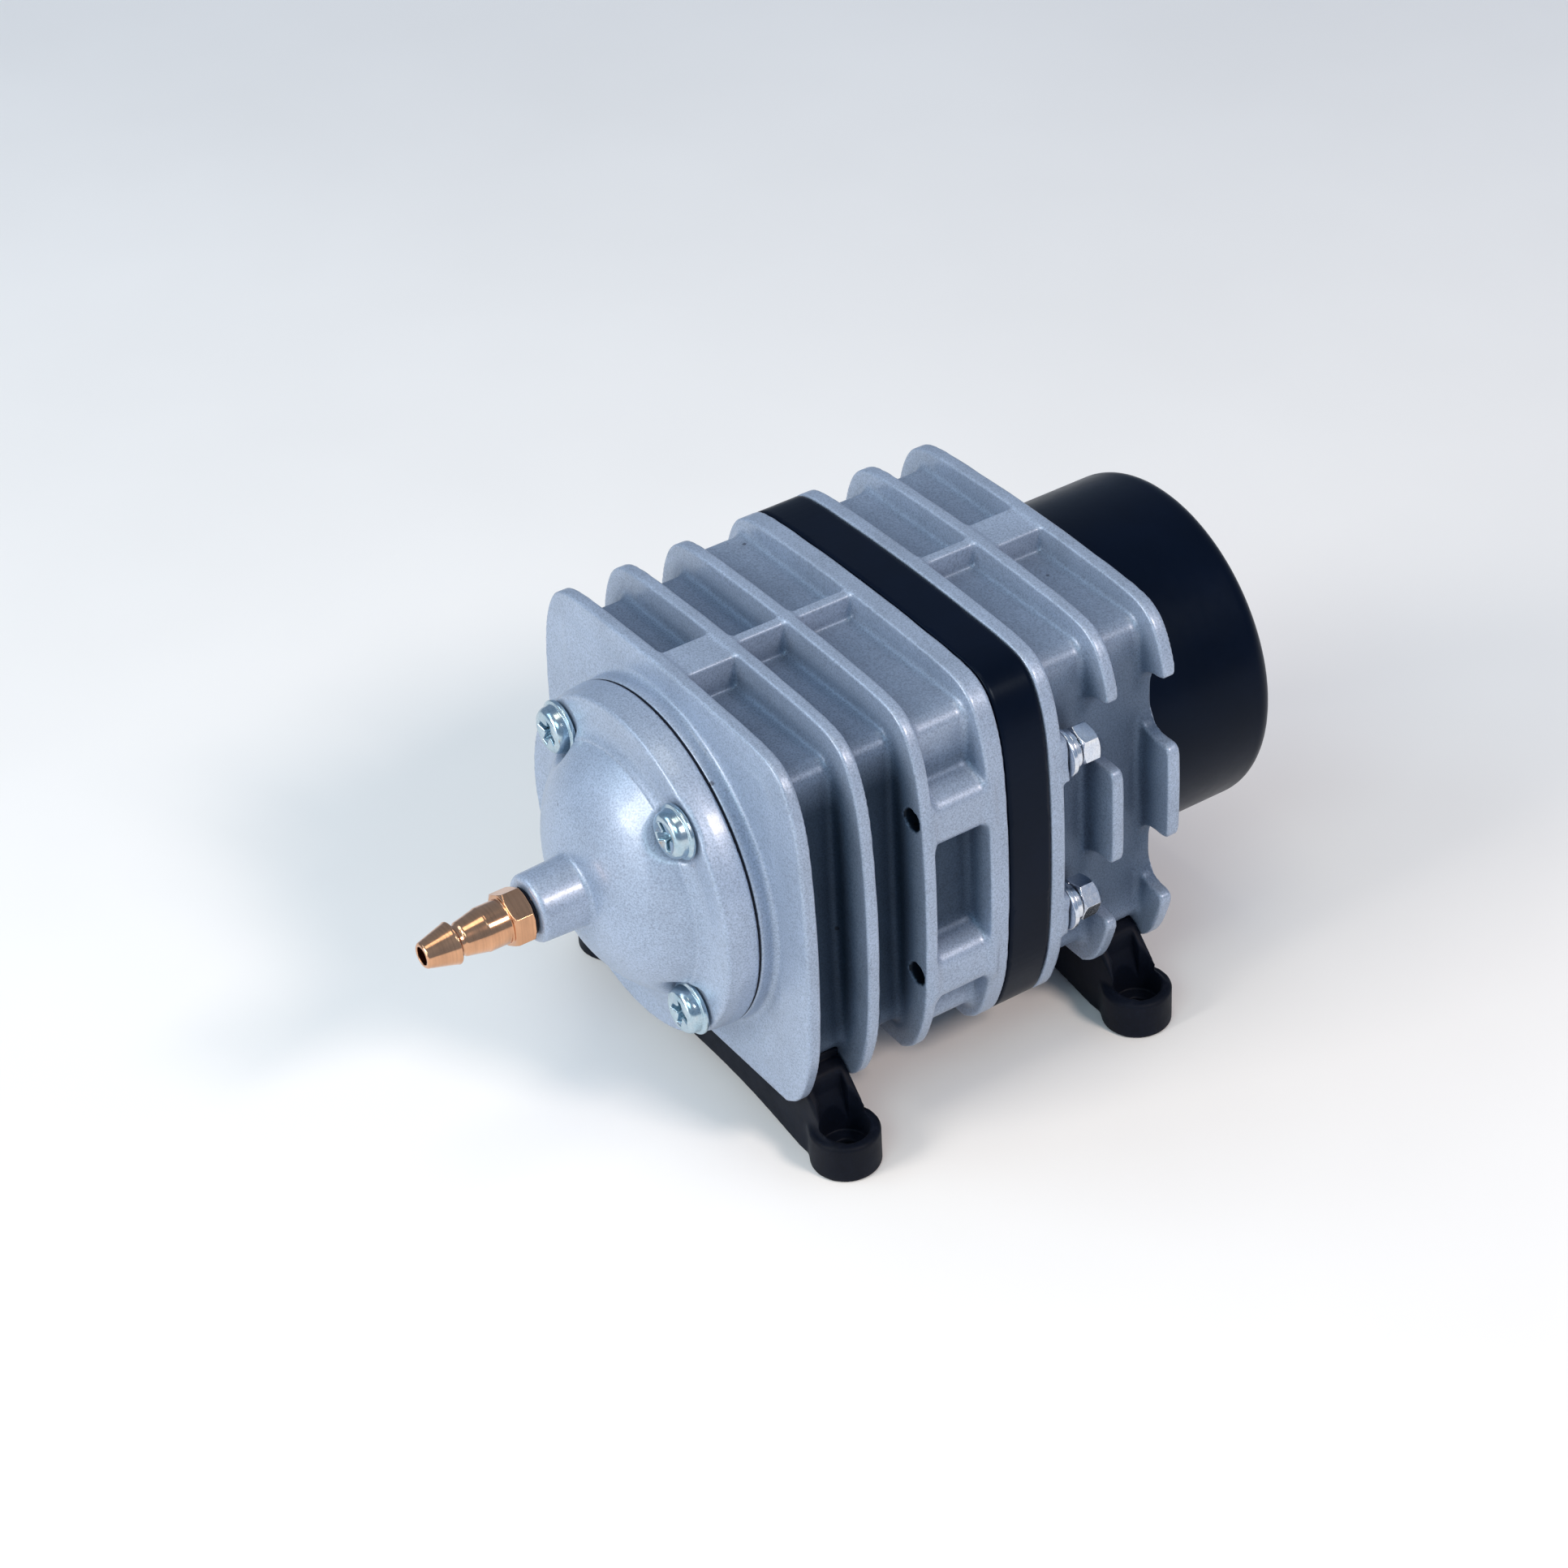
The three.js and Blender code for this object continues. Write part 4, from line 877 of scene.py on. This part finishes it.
def pan_screw(head_radius, radius, face, seat, end):
    """The field of a cross-recessed screw along Y, its head in front."""
    profile = Outline([*pan_head(head_radius, face, seat), (radius, seat), (radius, end - 1),
                       (radius - 0.8, end), (-3, end), (-3, face + 0.12 * (seat - face))], 0.06, 1.0)

    def field(x, y, z):
        distance = length(x, z)
        body = profile(distance, y)
        depth = y - face
        wing = 0.11 * head_radius + 0.1 - 0.06 * depth
        reach = 0.52 * head_radius - 0.4 * depth
        cross = union(np.maximum(np.abs(x) - wing, np.abs(z) - reach),
                      np.maximum(np.abs(z) - wing, np.abs(x) - reach))
        recess = np.maximum(union(cross, distance - 0.24 * head_radius + 0.2 * depth),
                            depth - 0.6 * (seat - face))
        return smooth_without(body, recess, 0.35)
    return field


def thread(distance, turn, y, radius, pitch, depth):
    """A bar whose surface rises and falls once in each pitch of a helix."""
    phase = (y / pitch + turn / (2 * math.pi)) % 1.0
    return distance - radius + depth * np.abs(2 * phase - 1)


def chamfered_ends(distance, y, radius, start, end):
    """The cone-shaped faces that take the corners off both ends of a hexagon."""
    past = np.abs(y - (start + end) / 2) - (end - start) / 2
    return (distance - radius) * 0.5 + past * math.cos(math.pi / 6)


def tie_bolt(x, y, z):
    distance = length(x, z)
    head = rounded_meet(hexagon(x, z, BOLT_FLATS), slab(y, *BOLT_HEAD), 0.25)
    head = np.maximum(head, chamfered_ends(distance, y, BOLT_FLATS / 2 - 0.2, *BOLT_HEAD))
    shank = thread(distance, np.arctan2(z, x), y, BOLT_R, BOLT_PITCH, depth=0.3)
    return union(head, np.maximum(shank, slab(y, BOLT_END, BOLT_HEAD[0] + 0.5)))


def flat_washer(x, y, z):
    middle, half = (WASHER_R + WASHER_HOLE_R) / 2, (WASHER_R - WASHER_HOLE_R) / 2
    return rounded_meet(np.abs(length(x, z) - middle) - half, slab(y, *WASHER), 0.3)


def spring_washer(x, y, z):
    """One turn of square wire, cut through at a slant and slightly sprung."""
    ring = np.abs(length(x, z) - SPRING_WASHER_R) - 0.85
    lift = 0.12 * (np.arctan2(z, x) / math.pi)
    body = rounded_meet(ring, slab(y + lift, *SPRING_WASHER), 0.3)
    split = np.maximum(np.abs(z + 0.5 * (y - sum(SPRING_WASHER) / 2)) - 0.4, -x)
    return without(body, split)


HEAD_SPOTS = [(-HEAD_SCREW, HEAD_SCREW), (HEAD_SCREW, HEAD_SCREW), (-HEAD_SCREW, -HEAD_SCREW),
              (HEAD_SCREW, -HEAD_SCREW)]
BOLT_SPOTS = [(-BOLT[0], BOLT[1]), (BOLT[0], BOLT[1]), (-BOLT[0], -BOLT[1]), (BOLT[0], -BOLT[1])]
copies("head_screw", HEAD_SPOTS,
       pan_screw(SCREW_HEAD_R, HEAD_SCREW_R, SCREW_SEAT - SCREW_HEAD, SCREW_SEAT, 9),
       (-6.1, SCREW_SEAT - SCREW_HEAD - 0.1, -6.1), (6.1, 9.1, 6.1), 0.13, ZINC, "zinc_plate",
       (20, 65, 40, 5))
copies("tie_bolt", BOLT_SPOTS, tie_bolt, (-4.8, BOLT_END - 0.1, -4.8), (4.8, 72.9, 4.8), 0.13, BRIGHT_ZINC,
       "zinc_plate", BOLT_TURNS)
copies("flat_washer", BOLT_SPOTS, flat_washer, (-5.5, 65.2, -5.5), (5.5, 66.5, 5.5), 0.12, BRIGHT_ZINC,
       "zinc_plate")
copies("spring_washer", BOLT_SPOTS, spring_washer, (-4.4, 66.5, -4.4), (4.4, 68.5, 4.4), 0.12, BRIGHT_ZINC,
       "zinc_plate", (0, 120, 200, 60))

NOZZLE_PROFILE = Outline([
    (BORE_R, NOZZLE_TIP), (2.5, NOZZLE_TIP), (2.8, NOZZLE_TIP + 0.3), (4.45, -53.4),
    *arc(4.3, -53.0, 0.3, -40, 90, 4), (3.6, -52.4), (3.3, -52.1), (3.3, -51.4), (3.6, -51.0),
    *catmull_rom([(3.7, -50.8), (4.0, -49.2), (4.35, -47.6), (4.62, -46.3)], 5), (4.75, -46.0), (4.75, -40),
    (3.9, -37), (3.9, -26), (BORE_R, -26)], 0.05, 2)


def outlet_nozzle(x, y, z):
    distance = length(x, z)
    barb = NOZZLE_PROFILE(distance, y)
    nut = rounded_meet(hexagon(x, z, NOZZLE_FLATS), slab(y, *NOZZLE_HEXAGON), 0.2)
    nut = np.maximum(nut, chamfered_ends(distance, y, NOZZLE_FLATS / 2, *NOZZLE_HEXAGON))
    return without(smooth_union(barb, nut, 0.3), distance - BORE_R)


def nozzle_seal(x, y, z):
    return rounded_meet(np.abs(length(x, z) - 4.75) - 0.45, slab(y, -36.2, -35.6), 0.25)


def cap_screw(x, y, z):
    seat = CAP_END - CAP_RECESS + GAP
    return pan_screw(head_radius=3.8, radius=2, face=-2.4, seat=0, end=17)(x, seat - y, z)


cast("outlet_nozzle", outlet_nozzle, (-6.5, NOZZLE_TIP - 0.1, -6.5), (6.5, -25.9, 6.5), 0.14, BRASS, "brass",
     fine=True)
cast("nozzle_seal", nozzle_seal, (-5.3, -36.3, -5.3), (5.3, -35.5, 5.3), 0.14, RUBBER, "black_rubber")
cast("cap_screw", cap_screw, (-3.9, 107.9, -3.9), (3.9, 127.5, 3.9), 0.15, ZINC, "zinc_plate")


# ---------------------------------------------------------------- gland, foot screws, springs

GLAND_PROFILE = Outline([
    (2.5, 0), (4.6, 0), (4.7, 0.2), (4.7, 7.8), (5.2, 7.8), (5.2, GLAND_HEXAGON[1]),
    *catmull_rom([(5.1, 12), (4.9, 14), (4.55, 16.5), (4.2, 18.6), (3.7, 19.7)], 4), (3.3, 20), (2.5, 20),
], 0.08, 2)


def cord_gland(x, y, z):
    """A screwed gland along -X: a hexagon to turn it by, and a fluted nose."""
    along, distance = GLAND_FACE - x, length(y - GLAND_Y, z)
    body = GLAND_PROFILE(distance, along)
    grip = rounded_meet(hexagon(y - GLAND_Y, z, 10.5), slab(along, *GLAND_HEXAGON), 0.3)
    grip = np.maximum(grip, chamfered_ends(distance, along, 5.3, *GLAND_HEXAGON))
    turn = np.arctan2(z, y - GLAND_Y) % (math.pi / 5) - math.pi / 10
    flutes = np.maximum(np.abs(turn * distance) - 0.35, 13 - along)
    body = smooth_without(union(body, grip), np.maximum(flutes, 3.9 - distance), 0.2)
    return without(body, distance - 2.9)


def gland_nut(x, y, z):
    along, distance = GLAND_FACE - 0.2 - x, length(y - GLAND_Y, z)
    nut = rounded_meet(hexagon(y - GLAND_Y, z, 11), slab(along, 0, 2), 0.25)
    nut = np.maximum(nut, chamfered_ends(distance, along, 5.6, 0, 2))
    return without(nut, distance - 5)


def standing(screw, centre_x, centre_y, seat):
    """A screw's field turned upright, its head below its seat."""
    return lambda x, y, z: screw(x - centre_x, z - seat, y - centre_y)


cast("cord_gland", cord_gland, (-51.6, GLAND_Y - 6.2, -6.2), (-31.4, GLAND_Y + 6.2, 6.2), 0.22, BLACK_PLASTIC,
     "black_plastic", fine=True)
cast("gland_nut", gland_nut, (-33.8, GLAND_Y - 6.5, -6.5), (-31.6, GLAND_Y + 6.5, 6.5), 0.2, BLACK_PLASTIC,
     "black_plastic", fine=True)

FOOT_SCREW = pan_screw(head_radius=4, radius=2, face=-2.6, seat=0, end=17.4)
UNDER_SEAT = FOOT_SCREW_SEAT - GAP
for end, centre in zip(("front", "rear"), FOOT_Y):
    for side, across in (("left", -FOOT_SCREW_X), ("right", FOOT_SCREW_X)):
        cast(f"{end}_foot_screw_{side}", standing(FOOT_SCREW, across, centre, UNDER_SEAT),
             (across - 4.1, centre - 4.1, UNDER_SEAT - 2.7), (across + 4.1, centre + 4.1, UNDER_SEAT + 17.5),
             0.24, ZINC, "zinc_plate", fine=True)


def coil(node, radius, wire, start, end, turns):
    """A compression spring along the pump's axis with a closed, ground turn at each end."""
    steps, sides = int(28 * turns), 12
    pitch = (end - start - 3 * wire) / (turns - 2)
    rows = []
    for i in range(steps + 1):
        t = i / steps * turns
        open_turns = min(max(t - 1, 0), turns - 2)
        y = start + wire / 2 + wire * (min(t, 1) + max(t - turns + 1, 0)) + pitch * open_turns
        angle = 2 * math.pi * t
        out = Vector((math.cos(angle), 0, math.sin(angle)))
        taper = min(1, 12 * i / steps + 0.15, 12 * (steps - i) / steps + 0.15)
        for j in range(sides):
            turn = 2 * math.pi * j / sides
            spot = out * (radius + wire / 2 * taper * math.cos(turn))
            rows.append((spot.x, y + wire / 2 * taper * math.sin(turn), spot.z))
    faces = []
    for i in range(steps):
        for j in range(sides):
            this, following = i * sides + j, i * sides + (j + 1) % sides
            faces.append((this, following, following + sides, this + sides))
    faces += [tuple(range(sides))[::-1], tuple(steps * sides + j for j in range(sides))]
    piece = mesh_object(f"{node}_look", rows, faces)
    piece.data.materials.append(WIRE)
    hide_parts(node)
    return piece


RETURN_SPRING = (61.3, 79.3)
OUTLET_SPRING = (-14.7, -5.3)
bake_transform(coil("return_spring", 6.4, 1.5, *RETURN_SPRING, turns=6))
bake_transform(coil("outlet_spring", 5.5, 0.9, *OUTLET_SPRING, turns=5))


# ---------------------------------------------------------------- camera, light, floor

AZIMUTH, ELEVATION, ROLL = (math.radians(a) for a in (57.88, 36.22, -3.30))
CAMERA_SPOT = (0.56727, -0.36291, 0.55185)
LENS = 91.95
back = Vector((math.sin(AZIMUTH) * math.cos(ELEVATION), -math.cos(AZIMUTH) * math.cos(ELEVATION),
               math.sin(ELEVATION)))
level = Vector((math.cos(AZIMUTH), math.sin(AZIMUTH), 0))
right = math.cos(ROLL) * level + math.sin(ROLL) * back.cross(level)
up = back.cross(right)
camera_data = bpy.data.cameras.new("camera")
camera_data.lens = LENS
camera_data.sensor_width = 36
camera_data.clip_end = 20
camera = bpy.data.objects.new("camera", camera_data)
camera.matrix_world = Matrix.Translation(CAMERA_SPOT) @ Matrix((right, up, back)).transposed().to_4x4()
bpy.context.scene.collection.objects.link(camera)
bpy.context.scene.camera = camera


PUMP = Vector((0, 0, 0.05))
LIGHT_REACH = 1.2


def studio_light(name, azimuth, elevation, size, power, color=(1, 1, 1)):
    """A square softbox aimed at the pump. Azimuth 0 is in front of the nozzle, 90 on the +X side."""
    az, el = math.radians(azimuth), math.radians(elevation)
    away = Vector((math.sin(az) * math.cos(el), -math.cos(az) * math.cos(el), math.sin(el)))
    data = bpy.data.lights.new(name, "AREA")
    data.shape = "SQUARE"
    data.size = size
    data.energy = power
    data.color = color
    light = bpy.data.objects.new(name, data)
    light.location = PUMP + away * LIGHT_REACH
    light.rotation_euler = (-away).to_track_quat("-Z", "Y").to_euler()
    bpy.context.scene.collection.objects.link(light)


studio_light("key_front", -3, 31, 0.42, 6.2, (1.0, 0.92, 0.84))
studio_light("front_right", 35, 42, 0.45, 2.1, (0.75, 1.0, 1.0))
studio_light("rear_right", 107, 42, 0.25, 7.0, (1.0, 0.84, 0.74))
studio_light("front_left", -35, 42, 0.45, 2.0, (0.72, 0.9, 1.0))
studio_light("front_low", 5, 10, 0.45, 1.8)
studio_light("top", 0, 88, 0.45, 1.8, (1.0, 0.9, 0.7))

world = bpy.data.worlds.new("studio")
world.use_nodes = True
world.node_tree.nodes["Background"].inputs["Color"].default_value = (0.60, 0.76, 1.0, 1)
world.node_tree.nodes["Background"].inputs["Strength"].default_value = 0.45
bpy.context.scene.world = world
bpy.context.scene.view_settings.view_transform = "Standard"

FLOOR_HALF = 3.0
floor_mesh = bpy.data.meshes.new("floor")
floor_mesh.from_pydata([(x * FLOOR_HALF, y * FLOOR_HALF, 0) for x, y in ((-1, -1), (1, -1), (1, 1), (-1, 1))],
                       [], [(0, 1, 2, 3)])
floor = bpy.data.objects.new("floor", floor_mesh)
bpy.context.scene.collection.objects.link(floor)
floor_look = Look("pale_floor", (0.9, 0.89, 0.88), 0.7, Specular_IOR_Level=0.2)
floor_look.color(floor_look.ramp(floor_look.noise(6, 3), (0.3, (0.88, 0.87, 0.86)), (0.7, (0.92, 0.91, 0.9))))
floor_mesh.materials.append(floor_look.material)
